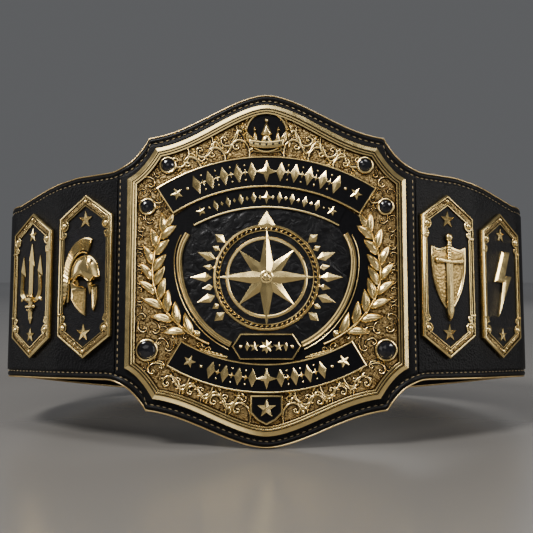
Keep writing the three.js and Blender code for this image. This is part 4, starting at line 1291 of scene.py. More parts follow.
    def scrolls(self) -> None:
        """Makes the scrollwork of the field, the left half as a mirror of the right."""
        gold, shade = Workpiece(), Workpiece()
        for top, start, end, count in ((True, 21.0, 67.0, 6), (False, 20.0, 72.0, 7)):
            vine = []
            for x in spaced(start - 2.0, end, 60):
                low, high = self.room(x, top)
                wave = math.sin(math.pi * (x - start) * (count - 1) / (end - start) + math.pi / 2)
                vine.append((x, mix(low, high, 0.5 + 0.3 * wave)))
            gold.stroke(vine, lambda s: 2.1 - 1.1 * s, self.relief, 1.2)
            flat = [(1.0, 0.0), (1.0, 1.0)]
            # A wide flat black stroke under the vine: painted shadow.
            shade.stroke(vine[::2], 3.0, self.relief - 0.1, 0.25, flat)
            for i in range(3, len(vine) - 3, 3):
                (ax, ay), (x, y) = vine[i - 1], vine[i]
                way = math.degrees(math.atan2(y - ay, x - ax))
                for side in (-1, 1):
                    size = (3.9 - 0.02 * i, 1.5)
                    leaf = Workpiece().leaf((x, y), way + 42 * side, size, self.relief, 1.1, 0.4 * side)
                    gold.join(leaf)
            for i, x in enumerate(spaced(start, end, count)):
                low, high = self.room(x, top)
                side = 1 if i % 2 else -1
                size = min(6.6, 0.44 * (high - low))
                eye = (x + 1.5, mix(low, high, 0.5 + 0.16 * side))
                self.scroll(gold, shade, eye, size, 180 + 70 * side, side)
                leaf = (x - 3.5, mix(low, high, 0.5 - 0.3 * side))
                gold.leaf(leaf, -60 * side, (0.9 * size, 0.36 * size), self.relief, 1.2, 0.4)
        small = [
            (87.0, 63.0, 4.6, 140, 1), (81.5, 70.0, 2.8, -30, -1), (92.5, 57.0, 2.8, 90, 1),
            (79.5, 52.5, 4.0, 250, -1), (84.0, 57.5, 2.4, 80, 1), (93.4, 37.0, 2.9, 90, 1),
            (86.5, 35.5, 3.3, 300, -1), (82.5, 46.0, 2.6, 200, 1), (79.0, 44.0, 2.2, 60, -1),
            (91.5, -37.0, 3.4, 90, 1), (90.5, -45.5, 3.6, 300, -1), (82.5, -47.0, 3.6, 200, 1),
            (79.5, -55.5, 3.6, 80, -1), (73.0, -59.5, 3.2, 250, 1), (84.5, -76.5, 4.4, 30, -1),
            (91.0, -74.5, 2.8, 250, 1), (77.5, -73.0, 3.4, 130, 1), (75.0, -47.5, 3.4, 130, 1),
            (67.5, -51.0, 3.0, 20, -1), (60.0, -51.5, 3.0, 60, -1), (50.0, -57.5, 3.2, 160, -1),
            (42.5, -60.5, 2.8, 20, 1), (16.5, -97.5, 3.2, 120, 1), (84.0, -66.5, 2.6, 200, -1),
        ]
        for i, y in enumerate(spaced(29.0, -30.0, 10)):
            small.append((94.0 if i % 2 else 92.8, y, 2.7, 90 if i % 2 else 270, 1 if i % 2 else -1))
        sprig = curve_through([(48.5, -61.4), (39.0, -64.6), (29.0, -66.4)], 14)
        gold.stroke(sprig, 1.2, self.relief + 0.15, 1.1)
        for x in spaced(31.0, 46.0, 6):
            for way in (27, -6):
                gold.leaf((x, 0.27 * x - 74.3), way, (5.0, 1.7), self.relief + 0.15, 1.2)
        for x, y, size, heading, curl in small:
            self.scroll(gold, shade, (x, y), size, heading, curl)
        gold.mirror()
        shade.mirror()
        seat = self.form.seat(0, 0)
        gold.finish("field_scrolls", [self.finishes.polished], Slot.GOLD, seat, (), 50.0)
        shade.finish("field_scroll_shade", [self.finishes.enamel], Slot.ENAMEL, seat)

    def stone(self, name: str, side: int, x: float, y: float, radius: float) -> None:
        """Makes a cut stone with its rings.

        Args:
            name: which stone.
            side: 1 right, -1 left.
            x: its place, as a share of the plate's half width.
            y: its height, as a share of the crest's or foot's height.
            radius: its radius.
        """
        tall = self.form.plate_crest if y > 0 else -self.form.plate_foot
        at = (side * x * self.form.plate_half_width, y * tall)
        word = "right" if side > 0 else "left"
        seat = self.form.seat(0, 0) @ Matrix.Translation((at[0], at[1], 0.0))
        low = self.field_height
        ring = Workpiece()
        # A flat black ring round the bezel: painted shadow.
        shade = [(2.3, -0.1), (2.3, 0.16), (1.5, 0.16), (1.5, -0.1)]
        ring.hoop((0, 0), [(radius + r, low + z) for r, z in shade], 40, 1)
        wall = [(1.85, -0.1), (1.85, 0.9), (1.65, 1.5), (1.3, 1.9)]
        wall += [(0.75, 2.1), (0.4, 2.0), (0.2, 1.5), (0.2, -0.1)]
        ring.hoop((0, 0), [(radius + r, low + z) for r, z in wall], 44)
        ring.finish(f"bezel_{name}_{word}", [self.finishes.polished, self.finishes.enamel], Slot.GOLD, seat)
        gem = Workpiece()
        count = 16
        plan = ((1.02, -0.1, 0.0), (1.02, 1.2, 0.0), (0.84, 1.95, 0.5), (0.56, 2.6, 0.0), (0.2, 2.95, 0.0))
        rings = []
        for scale, height, shift in plan:
            points = []
            for i in range(count):
                k = i if scale > 0.6 else 2 * (i // 2) + 0.5
                angle = 2 * math.pi * (k + shift) / count
                across, up = scale * radius * math.cos(angle), scale * radius * math.sin(angle)
                points.append(Vector((across, up, low + height)))
            rings.append(points)
        gem.tube(rings)
        stands_for = [f"stone_{name}_{word}"]
        gem.finish(f"gem_{name}_{word}", [self.finishes.stone], Slot.STONE, seat, stands_for, 4.0)

    def build(self) -> None:
        """Makes the plate, its scrolls and its stones."""
        self.body()
        self.scrolls()
        for side in (-1, 1):
            for row in self.stones:
                self.stone(row[0], side, *row[1:])


@dataclass
class Signs(Assembly):
    """The ornament signs: two banners, the second row, the plaque and the star badge."""

    low: float = 2.6
    top: float = 4.45
    upper: ClassVar[Arc] = UPPER_ARC
    lower: ClassVar[Arc] = LOWER_ARC

    def lip(self) -> list[Point]:
        """Returns the steps of a sign's raised lip."""
        return [(0.25, 0.3), (0.25, 0.1), (0.35, 0.0), (0.2, -0.15), (0.12, -0.65)]

    def motif(self, points: int, size: Point, low: float, rise: float, at: Point, turn: float) -> Workpiece:
        """Returns a faceted star or lozenge with a narrow flat edge.

        Args:
            points: how many points it has; 2 for a lozenge.
            size: radius of its points and of its notches.
            low: height of what it stands on.
            rise: its height.
            at: its middle.
            turn: degrees that it is turned by.

        Returns:
            The motif.
        """
        outline = placed(star_outline(points, size[0], size[1]), turn, at)
        return Workpiece().cut(outline, low - 0.2, low + 0.45 * rise, low + rise, at, 0.12)

    def row(
        self, arc: Arc, radius: float, low: float, plan: Sequence[tuple[float, int, Point]], rise: float
    ) -> Workpiece:
        """Returns a row of motifs that stand on an arc.

        Args:
            arc: the arc.
            radius: the row's radius.
            low: height of what it stands on.
            plan: angle, points and size of each motif.
            rise: their height.

        Returns:
            The row.
        """
        made = Workpiece()
        for angle, points, size in plan:
            for side in (-1, 1) if angle else (1,):
                at = arc.at(radius, side * angle)
                made.join(self.motif(points, size, low, rise, at, arc.turn(side * angle)))
        return made

    def bosses(self, arc: Arc, low: float, plan: Sequence[tuple[float, float, float]]) -> Workpiece:
        """Returns small round heads at both sides of an arc's middle, from radius, angle and size."""
        made = Workpiece()
        for radius, angle, size in plan:
            for side in (-1, 1) if angle else (1,):
                made.ball(arc.at(radius, side * angle), low, size, 0.9 * size, sides=10)
        return made

    def upper_banner(self) -> None:
        """Makes the upper banner."""
        arc, outer, inner, half = self.upper, 152.0, 128.5, 33.0
        middle, top = (outer + inner) / 2, self.top
        piece = Workpiece().terrace(arc.band(outer, inner, half), self.low, top + 0.35, self.lip(), 1)
        long = [(4.4 * i, 2, (7.4, 3.3)) for i in range(0, 6)]
        piece.join(self.row(arc, middle, top, [(0.0, 4, (8.6, 3.0))] + long[1:], 1.35))
        piece.join(self.row(arc, middle, top, [(4.4 * (i + 0.5), 4, (2.6, 0.9)) for i in range(1, 5)], 1.1))
        piece.join(self.row(arc, middle, top, [(28.6, 5, (4.9, 2.0))], 1.5))
        dots = [(middle + s * 5.6, 4.4 * (i + 0.5), 0.8) for i in range(1, 5) for s in (-1, 1)]
        dots += [(middle, 25.0, 1.3)]
        piece.join(self.bosses(arc, top, dots))
        self.applied(piece, "upper_sign", ["upper_banner"], 20.0, self.finishes.enamel)

    def second_row(self) -> None:
        """Makes the second row on its black band, with the gold rail below it."""
        arc, outer, rail, half = self.upper, 126.6, 112.5, 28.0
        piece = Workpiece()
        piece.block(arc.band(outer, rail + 0.4, half), self.low, 3.6, 1)
        profile = [(1.0, 0.0), (1.0, 0.55), (0.7, 0.9), (0.3, 1.0)]
        piece.stroke(arc.line(rail + 0.7, half + 0.6), 1.6, self.low, 2.1, profile)
        middle = 120.6
        plan = [(4.6 * i, 2, (4.3, 2.0)) for i in range(1, 5)]
        plan += [(4.6 * (i + 0.5), 2, (1.7, 1.1)) for i in range(0, 4)]
        plan += [(0.0, 4, (4.9, 1.7)), (24.0, 5, (3.8, 1.55))]
        piece.join(self.row(arc, middle, 3.6, plan, 1.0))
        piece.join(self.bosses(arc, 3.6, [(middle, 20.9, 0.9)]))
        self.applied(piece, "second_row", ["second_band"], 20.0, self.finishes.enamel)

    def lower_banner(self) -> None:
        """Makes the lower banner."""
        arc, outer, inner, half = self.lower, 146.0, 124.5, 30.5
        middle, top = (outer + inner) / 2, self.top
        piece = Workpiece().terrace(arc.band(outer, inner, half), self.low, top + 0.35, self.lip(), 1)
        plan = [(0.0, 4, (7.8, 2.7))] + [(4.4 * i, 2, (6.6, 3.1)) for i in range(1, 5)]
        plan += [(4.4 * (i + 0.5), 4, (2.4, 0.85)) for i in range(1, 4)] + [(24.8, 5, (4.9, 2.0))]
        piece.join(self.row(arc, middle, top, plan, 1.35))
        dots = [(middle + s * 5.0, 4.4 * (i + 0.5), 0.75) for i in range(1, 4) for s in (-1, 1)]
        piece.join(self.bosses(arc, top, dots + [(middle, 20.9, 1.2)]))
        self.applied(piece, "lower_sign", ["lower_banner"], 20.0, self.finishes.enamel)

    def plaque(self) -> None:
        """Makes the plaque over the lower banner."""
        middle, reach, shoulder, half = -58.7, 25.6, 19.4, 9.6
        corners = [(-shoulder, -1), (shoulder, -1), (reach, 0), (shoulder, 1), (-shoulder, 1), (-reach, 0)]
        outline = [(x, middle + y * half) for x, y in corners]
        top = 4.9
        steps = [(0.25, 0.4), (0.25, 0.1), (0.55, 0.0), (0.2, -0.9)]
        piece = Workpiece().terrace(outline, self.low, top + 0.4, steps, 1)
        piece.join(self.motif(8, (5.0, 2.9), top, 1.7, (0.0, middle), 0.0))
        for side in (-1, 1):
            piece.join(self.motif(5, (3.9, 1.6), top, 1.3, (8.9 * side, middle), 0.0))
            piece.join(self.motif(2, (3.4, 1.6), top, 1.1, (14.3 * side, middle), 0.0))
            piece.ball((19.0 * side, middle), top, 1.5, 1.3)
        self.applied(piece, "plaque_sign", ["plaque"], 20.0, self.finishes.enamel)

    def badge(self) -> None:
        """Makes the shield badge with its star."""
        reach, top_y, shoulder, tip = 12.0, -94.0, -107.0, -116.0
        half = [(0.55 * reach, -112.6), (reach, shoulder), (reach, top_y)]
        outline = [(-x, y) for x, y in reversed(half)] + [(0.0, tip)] + half
        top = 4.3
        steps = [(0.3, 0.5), (0.3, 0.1), (0.75, 0.0), (0.3, -0.9)]
        piece = Workpiece().terrace(outline, self.low, top + 0.3, steps, 1)
        piece.join(self.motif(5, (7.2, 2.9), top, 2.0, (0.0, -103.7), 0.0))
        self.applied(piece, "badge_sign", ["star_badge"], 20.0, self.finishes.enamel)

    def build(self) -> None:
        """Makes every sign."""
        self.upper_banner()
        self.second_row()
        self.lower_banner()
        self.plaque()
        self.badge()


@dataclass
class CenterPiece(Assembly):
    """The black centre with the emblem, the arches, the laurels and the crown."""

    low: float = 2.95
    middle: Point = (0.0, -7.3)
    radius: float = 39.8
    stem_reach: float = 84.8
    stem_middle: float = -3.0
    stem_tall: Point = (72.0, 62.0)
    arch_reach: float = 65.0
    arch_middle: float = 5.0
    arch_tall: Point = (48.0, 68.0)
    crown_middle: float = 103.2

    def stem(self, degrees: float) -> Point:
        """Returns a point of the laurel stem's curve."""
        angle = math.radians(degrees)
        tall = self.stem_tall[0] if degrees > 0 else self.stem_tall[1]
        return self.stem_reach * math.cos(angle), self.stem_middle + tall * math.sin(angle)

    def arch(self, degrees: float, outwards: float = 0.0) -> Point:
        """Returns a point of the arch's curve."""
        angle = math.radians(degrees)
        tall = self.arch_tall[0] if degrees > 0 else self.arch_tall[1]
        reach = self.arch_reach + outwards
        return reach * math.cos(angle), self.arch_middle + (tall + outwards) * math.sin(angle)

    def ground(self) -> None:
        """Makes the black ground, with a rough surface inside the arches."""
        right = [self.stem(a) for a in spaced(-56, 36, 40)]
        top = [UPPER_ARC.at(128.5, a) for a in spaced(24, 0, 14)]
        foot = [LOWER_ARC.at(124.5, a) for a in spaced(0, 20, 12)]
        half = foot + right + top
        outline = half + mirrored(half[1:-1])
        piece = Workpiece()
        piece.block(outline, 2.3, self.low)
        columns, rows = 26, 20
        chance = random.Random(11)
        corners = [(c, r) for c in range(columns + 1) for r in range(rows + 1)]
        jitter = {corner: [chance.uniform(-1, 1) for _ in range(3)] for corner in corners}

        def at(column: int, row: int) -> Vector:
            """Returns a point of the crystal surface, sunk outside the arches."""
            dx, dy, dz = jitter[(column, row)]
            x = (column / columns - 0.5) * 132 + 1.9 * dx
            y = -56 + row / rows * 100 + 1.9 * dy
            tall = self.arch_tall[0] if y > self.arch_middle else self.arch_tall[1]
            room = 1 - math.hypot(x / (self.arch_reach - 2), (y - self.arch_middle) / (tall + 6))
            roof = -67.7 + math.sqrt(112.0**2 - x**2) - y
            inside = min(1.0, max(0.0, 9 * room), max(0.0, roof / 4 + 0.3))
            sunk = 0.0 if inside > 0 else -0.35
            return Vector((x, y, self.low + sunk + inside * (0.3 + 0.3 * dz)))

        crystal = Workpiece()
        crystal.sheet(columns, rows, at, 1)
        bmesh.ops.triangulate(crystal.mesh, faces=crystal.mesh.faces, quad_method="ALTERNATE")
        solid = bmesh.ops.extrude_face_region(
            crystal.mesh, geom=crystal.mesh.faces[:], use_keep_orig=True
        )["geom"]
        for item in solid:
            if isinstance(item, bmesh.types.BMVert):
                item.co.z = 2.4
        piece.join(crystal)
        seat, finishes = self.form.seat(0, 0), [self.finishes.enamel, self.finishes.crystal]
        piece.finish("black_ground", finishes, Slot.ENAMEL, seat, ["center_ground"], 3.0)

    def arches(self) -> None:
        """Makes the broad double line and the thin line outside it, on both sides."""
        profile = [(1.0, 0.0), (1.0, 0.6), (0.82, 0.95), (0.5, 1.0), (0.36, 0.6), (0.18, 0.55)]
        for side, word in ((-1, "left"), (1, "right")):
            place = [(side * x, y) for x, y in (self.arch(a) for a in spaced(25, -66, 48))]
            piece = Workpiece().stroke(place, 4.6, self.low - 0.2, 2.3, profile)
            line = [(side * x, y) for x, y in (self.arch(a, 3.9) for a in spaced(22, -66, 44))]
            piece.stroke(line, 1.1, self.low - 0.2, 1.5)
            self.applied(piece, f"arch_line_{word}", [f"arch_{word}"], 35.0)

    def laurels(self) -> None:
        """Makes both laurel sprays."""
        for side, word in ((-1, "left"), (1, "right")):
            piece = Workpiece()
            low = self.low - 0.3
            path = [self.stem(a) for a in spaced(27, -60, 44)]
            piece.stroke(path, lambda s: 1.5 + 0.5 * s, low, 2.9)
            for i in range(8):
                degrees = mix(23.5, -46.0, i / 7)
                (x, y), (bx, by) = self.stem(degrees), self.stem(degrees + 1)
                up = math.degrees(math.atan2(by - y, bx - x))
                long = mix(16.4, 18.4, smooth(i / 7))
                outer = 31 + 9 * smooth(i / 7 - 0.3)
                inner = 22 + 13 * smooth(i / 3)
                piece.leaf((x, y), up - outer, (long, 7.0), low + 0.1, 3.3, 0.9)
                root = self.stem(degrees - 4)
                piece.leaf(root, up + inner, (long, 7.4), low + 0.1, 3.3, -0.9)
            (x, y), (bx, by) = self.stem(27), self.stem(28)
            up = math.degrees(math.atan2(by - y, bx - x))
            piece.leaf((x, y), up - 4, (12.5, 5.4), low + 0.1, 2.6)
            if side < 0:
                bmesh.ops.scale(piece.mesh, verts=piece.mesh.verts, vec=(-1, 1, 1))
            self.applied(piece, f"laurel_spray_{word}", [f"laurel_{word}"], 40.0)

    def emblem(self) -> None:
        """Makes the rings, the rope band, the star, the rays on both sides and the spike over them."""
        at, low, full = self.middle, self.low - 0.3, self.radius
        piece = Workpiece()
        outer = [(0.0, 0.0), (0.0, 1.6), (-0.45, 2.2), (-1.5, 2.35), (-1.9, 1.9), (-1.9, 0.0)]
        inner = [(-4.1, 0.0), (-4.1, 1.3), (-4.5, 1.75), (-5.0, 1.6), (-5.2, 0.0)]
        thin = [(-9.2, 0.0), (-9.2, 1.2), (-9.8, 1.7), (-11.0, 1.7), (-11.6, 1.2), (-11.6, 0.0)]
        for section in (outer, inner, thin):
            piece.hoop(at, [(full + r, low + z) for r, z in section], 96)
        bead = Workpiece()
        bmesh.ops.create_uvsphere(bead.mesh, u_segments=8, v_segments=6, radius=1.0)
        seats = []
        for i in range(60):
            angle = 6.0 * i
            x, y = placed([(full - 3.0, 0.0)], angle, at)[0]
            turn = Matrix.Rotation(math.radians(angle + 38), 4, "Z")
            seats.append(Matrix.Translation((x, y, low + 0.7)) @ turn @ Matrix.Diagonal((0.9, 1.9, 1.5, 1.0)))
        piece.stamp(bead, seats)
        for count, reach, notch, turn, edge, apex in (
            (4, 0.79, 0.2, 45, 0.9, 3.0), (4, 1.0, 0.2, 0, 1.2, 4.4)
        ):
            outline = star_outline(count, (full - 2.6) * reach, notch * full, at, turn)
            piece.cut(outline, low, low + edge, low + apex, at, 0.35)
        for i in range(18):
            degrees = 10.0 * (i % 9) - 40 + (180 if i > 8 else 0)
            share, half = (1.0, 3.5) if i % 2 == (i > 8) else (0.5, 2.3)
            tip = 1 / math.hypot(math.cos(math.radians(degrees)) / 57, math.sin(math.radians(degrees)) / 44)
            start = full + 0.6
            long, root = mix(start, tip, share), start + 5 * share
            shape = [(start, 0.0), (root, -half), (long, 0.0), (root, half)]
            crest = placed([(root, 0.0)], degrees, at)[0]
            piece.cut(placed(shape, degrees, at), low, low + 0.7, low + 2.4, crest, 0.15)
        spike = [(-7.0, 31.0), (0.0, 29.0), (7.0, 31.0), (0.0, 42.6)]
        piece.cut(spike, low, low + 1.4, low + 2.9, (0.0, 33.0), 0.5)
        piece.ball(at, low + 3.6, 3.1, 2.2, sides=24)
        collar = [(5.0, 2.2), (5.0, 3.9), (4.4, 4.2), (3.4, 4.2), (3.4, 2.2)]
        piece.hoop(at, [(r, low + z) for r, z in collar], 32)
        seat = self.form.seat(0, 0)
        piece.finish("emblem_star", [self.finishes.polished], Slot.GOLD, seat, ["emblem"], 22.0)

    def crown(self) -> None:
        """Makes the crown on its black roundel."""
        low, y0 = 2.6, self.crown_middle
        roundel = Workpiece()
        roundel.block(circle_outline(15.2, 48, (0.0, y0)), 2.3, 3.0)
        roundel.finish(
            "crown_roundel", [self.finishes.enamel], Slot.ENAMEL, self.form.seat(0, 0), ["medallion"]
        )
        piece = Workpiece()
        ring = [(15.9, 0.0), (15.9, 0.9), (15.5, 1.3), (14.8, 1.3), (14.5, 0.9), (14.5, 0.0)]
        piece.hoop((0.0, y0), [(r, low + z) for r, z in ring], 60)
        for side in (-1, 1):
            curl = [(16.4, -13.0), (16.0, -5.0), (17.4, 2.0), (16.0, 8.0), (11.5, 13.0)]
            for x, y in curl:
                way = 90 + side * (-12)
                piece.leaf((side * x, y0 + y), way if y < 5 else 90 + side * 35, (6.5, 2.2), low, 1.4)
        foot = y0 - 13.0

        def arched(x: float) -> float:
            """Returns how far the crown's band sags at a place across it."""
            return 0.011 * x * x

        reach = 12.8
        xs = spaced(-reach, reach, 15)
        band = [(x, foot + arched(x)) for x in xs] + [
            (1.05 * x, foot + 5.4 + arched(x)) for x in reversed(xs)
        ]
        piece.terrace(band, low, low + 2.9, [(0.3, 0.5), (0.6, 0.4), (0.8, 0.2)])
        for x in (-9.6, -5.0, 0.0, 5.0, 9.6):
            piece.ball((x, foot + 2.7 + arched(x)), low + 3.9, 0.95, 0.6, 1, 10)
        base = foot + 4.6
        for left, right, x, y in (
            (-14.0, -8.6, -15.6, 9.6), (8.6, 14.0, 15.6, 9.6), (-11.2, -5.4, -8.9, 9.6),
            (5.4, 11.2, 8.9, 9.6)
        ):
            root, half, floor = (left + right) / 2, (right - left) / 2, base - 1 + arched(x)
            spread = ((1.0, 0.0), (0.66, 0.35), (0.36, 0.75))
            shape = [
                (mix(root, x, s) + w * half, mix(floor, base + y, s)) for w, s in spread
            ] + [(x, base + y)]
            shape += [(mix(root, x, s) - w * half, mix(floor, base + y, s)) for w, s in reversed(spread)]
            piece.join(cushion(shape, low + 1.4, 2.3, (mix(root, x, 0.3), floor + 0.3 * y)))
            piece.ball((x, base + y + 0.4), low + 1.2, 1.1, 1.7, sides=12)
            piece.ball((x, base + y + 2.1), low + 1.2, 0.6, 1.1, sides=8)
        for spire, middle in (
            ([(5.0, -0.5), (3.7, 2.4), (2.8, 5.2), (0.0, 6.4)], 2.0),
            ([(0.0, 5.0), (3.7, 5.6), (4.5, 6.5), (3.0, 9.4), (1.5, 13.0), (0.0, 16.8)], 7.8),
        ):
            spire = [(x, base + y) for x, y in spire]
            shape = spire + mirrored(spire[1:-1] if spire[0][0] == 0 else spire[:-1])
            piece.join(cushion(shape, low + 1.2, 2.6, (0.0, base + middle)))
        piece.ball((0.0, base + 17.0), low + 1.3, 1.5, 2.0, sides=14)
        piece.ball((0.0, base + 1.9), low + 3.8, 0.9, 0.6, 1, 10)
        mouth = [(r, low + z) for r, z in ((1.0, 0.0), (1.0, 1.6), (0.86, 1.9), (0.8, 0.0))]
        oval = Workpiece().hoop((0.0, 0.0), mouth, 40)
        bmesh.ops.scale(oval.mesh, verts=oval.mesh.verts, vec=(12.4, 2.6, 1.0))
        bmesh.ops.translate(oval.mesh, verts=oval.mesh.verts, vec=(0.0, foot - 0.4, 0.0))
        piece.join(oval)
        seat = self.form.seat(0, 0)
        piece.finish(
            "crown_relief", [self.finishes.polished, self.finishes.enamel], Slot.GOLD, seat, ["crown"],
            28.0
        )

    def domes(self) -> None:
        """Makes the two small domes beside the plaque."""
        piece = Workpiece()
        for side in (-1, 1):
            at = (side * 51.9, -49.4)
            piece.ball(at, self.low, 2.0, 1.9, sides=16)
            section = [(2.7, -0.2), (2.7, 0.5), (2.2, 0.8), (1.7, 0.4), (1.7, -0.2)]
            piece.hoop(at, [(r, self.low + z) for r, z in section], 24)
        piece.finish("plate_domes", [self.finishes.polished], Slot.GOLD, self.form.seat(0, 0))

    def build(self) -> None:
        """Makes the whole centre."""
        self.ground()
        self.arches()
        self.laurels()
        self.emblem()
        self.crown()
        self.domes()


def curve_through(points: Sequence[Point], count: int) -> list[Point]:
    """Returns evenly numbered points on a smooth curve through given points.

    Args:
        points: the points that it passes.
        count: how many points to return.

    Returns:
        The points from the first to the last.
    """
    padded = [points[0], *points, points[-1]]
    made = []
    for i in range(count):
        t = i / (count - 1) * (len(points) - 1)
        k = min(int(t), len(points) - 2)
        s = t - k
        a, b, c, d = padded[k : k + 4]
        weights = (-s + 2 * s**2 - s**3, 2 - 5 * s**2 + 3 * s**3, s + 4 * s**2 - 3 * s**3, -(s**2) + s**3)
        made.append(tuple(sum(w * p[axis] for w, p in zip(weights, (a, b, c, d))) / 2 for axis in (0, 1)))
    return made


def shrunk(outline: Sequence[Point], rows: Iterable[Point], at: Point, material: int = 0) -> Workpiece:
    """Returns a block whose rings shrink towards a point.

    Args:
        outline: its corners, anticlockwise.
        rows: each ring's share of the outline, and its height.
        at: the point.
        material: index of its material.

    Returns:
        The block.
    """
    rings = [
        [Vector((mix(at[0], x, share), mix(at[1], y, share), z)) for x, y in outline] for share, z in rows
    ]
    return Workpiece().tube(rings, material)


def cushion(outline: Sequence[Point], low: float, rise: float, at: Point, material: int = 0) -> Workpiece:
    """Returns a smoothly domed block of an outline.

    Args:
        outline: its corners, anticlockwise.
        low: height of its underside.
        rise: height of its top.
        at: the middle that it swells towards.
        material: index of its material.

    Returns:
        The block.
    """
    rows = [(1.0, low - 0.4)]
    rows += [
        (s, low + rise * (1 - s**2.4) ** 0.62)
        for s in (1.0, 0.985, 0.95, 0.88, 0.76, 0.6, 0.42, 0.22, 0.06)
    ]
    return shrunk(outline, rows, at, material)


class Figure(Enum):
    """The figure on a side plate."""

    HELMET = "helmet"
    SWORD = "sword"
    TRIDENT = "trident"
    BOLT = "bolt"


@dataclass
class SidePlate(Assembly):
    """A small hexagonal cast plate with its frame, ground, brackets, stars and figure."""

    name: str
    side: int
    place: float
    size: float
    figure: Figure
    half_width: float = 26.0
    half_height: float = 63.0
    shoulder: float = 46.0
    ground_height: float = 1.8
    star_place: float = 43.5

    def outline(self, side: float, slant: float) -> list[Point]:
        """Returns the six corners, smaller by a distance on the sides and on the slants."""
        reach = self.half_width - side
        top = self.size * self.half_height - slant
        rise = self.size * (self.half_height - self.shoulder)
        corner = top - rise * reach / self.half_width
        return [(0, -top), (reach, -corner), (reach, corner), (0, top), (-reach, corner), (-reach, -corner)]

    def seat(self) -> Matrix:
        """Returns the plate's own space."""
        u = self.side * self.place
        return self.form.seat(u, (self.form.edge(u, True) + self.form.edge(u, False)) / 2)

    def frame(self) -> None:
        """Makes the frame with its rails, panels, brackets and rivets."""
        rows = (
            (0.0, 0.0, 0.1), (0.0, 0.0, 2.3), (0.25, 0.3, 3.0), (0.8, 1.0, 3.5), (1.5, 1.8, 3.6),
            (1.9, 2.2, 3.3), (2.05, 2.4, 2.2), (2.6, 2.9, 2.2), (2.75, 3.1, 2.8), (2.9, 3.3, 2.9),
            (3.4, 6.5, 2.9), (3.55, 6.7, 2.8), (3.7, 6.9, 2.1), (4.15, 7.4, 2.1), (4.3, 7.6, 2.8),
            (4.5, 7.8, 3.0), (5.0, 8.5, 3.0), (5.2, 8.8, 2.8),
            (5.4, 9.0, 0.1),
        )
        rings = [[Vector((x, y, z)) for x, y in self.outline(side, slant)] for side, slant, z in rows]
        piece = Workpiece().tube(rings, closed=True)
        steep = 0.4 * self.half_width
        for face in piece.mesh.faces:
            middle = face.calc_center_median()
            if abs(middle.z - 2.9) < 0.02 and abs(middle.x) < self.half_width - 0.2 * steep:
                face.material_index = 1 if abs(middle.y) > self.size * 40 else 0
            # The frame's groove floors take the dark brown gold: painted shade.
            elif min(abs(middle.z - z) for z in (2.1, 2.2)) < 0.02:
                face.material_index = 2
        level = 2.9
        outer, inner = self.outline(3.1, 4.9), self.outline(5.4, 9.0)
        for i in (0, 3):
            (x, y), (x2, y2) = outer[i], outer[i - 1]
            for share in (0.2, 0.36, 0.52, 0.68):
                for sign in (-1, 1):
                    piece.ball((sign * mix(x, x2, share), mix(y, y2, share)), level, 0.5, 0.5, sides=8)
            piece.ball((x, y + (0.5 if y < 0 else -0.5)), level, 1.6, 1.5)
        for y in (-1, 1):
            for x in (-1, 1):
                at = (x * (inner[2][0] + 0.2), y * (inner[2][1] - 0.9))
                self.bracket(piece, at, x, y)
        seat = self.seat()
        finishes = [self.finishes.polished, self.finishes.ground, self.finishes.recess]
        piece.finish(f"plate_{self.name}_frame", finishes, Slot.GOLD, seat, [f"side_plate_{self.name}"], 32.0)

    def bracket(self, piece: Workpiece, at: Point, x: int, y: int) -> None:
        """Adds a corner's dome, its open loops and the bar across the rail.

        Args:
            piece: the frame.
            at: the dome's middle.
            x: 1 right, -1 left.
            y: 1 top, -1 foot.
        """
        toward = math.degrees(math.atan2(-y, -x))
        seatring = [(4.1, 1.2), (4.1, 2.9), (3.8, 3.3), (3.2, 3.3), (2.9, 2.9), (2.9, 1.2)]
        piece.hoop(at, seatring, 28, start=toward - 125, sweep=250)
        piece.ball(at, 2.4, 2.4, 2.6, sides=18)
        loop = [(2.3, 1.2), (2.3, 2.7), (2.0, 3.1), (1.4, 3.1), (1.1, 2.7), (1.1, 1.2)]
        second = (at[0] + x * 0.2, at[1] - y * 7.2)
        piece.hoop(second, loop, 20, start=180 - 150 if x > 0 else -150, sweep=300)
        foot = (x * (self.half_width - 3.0), second[1] - y * 2.6)
        bar = [(foot[0] + a * 2.7, foot[1] + b * 0.8) for a, b in ((-1, -1), (1, -1), (1, 1), (-1, 1))]
        piece.terrace(bar, 1.2, 3.4, [(0.3, 0.4)])

    def ground(self) -> None:
        """Makes the black ground."""
        piece = Workpiece()
        piece.block(self.outline(5.0, 8.2), 0.4, self.ground_height)
        piece.finish(
            f"plate_{self.name}_ground", [self.finishes.stippled], Slot.ENAMEL, self.seat(),
            [f"side_ground_{self.name}"]
        )

    def stars(self) -> None:
        """Makes the stars over and under the figure."""
        outer = 6.9 if self.size == 1 else 5.9
        for y, word in ((1, "top"), (-1, "foot")):
            at = (0.0, y * self.size * self.star_place)
            low = self.ground_height - 0.2
            piece = Workpiece().cut(star_outline(5, outer, 0.4 * outer, at), low, low + 1.0, low + 2.6, at)
            piece.finish(f"star_{self.name}_{word}_cut", [self.finishes.polished], Slot.GOLD, self.seat(),
                         [f"star_{self.name}_{word}"], 15.0)

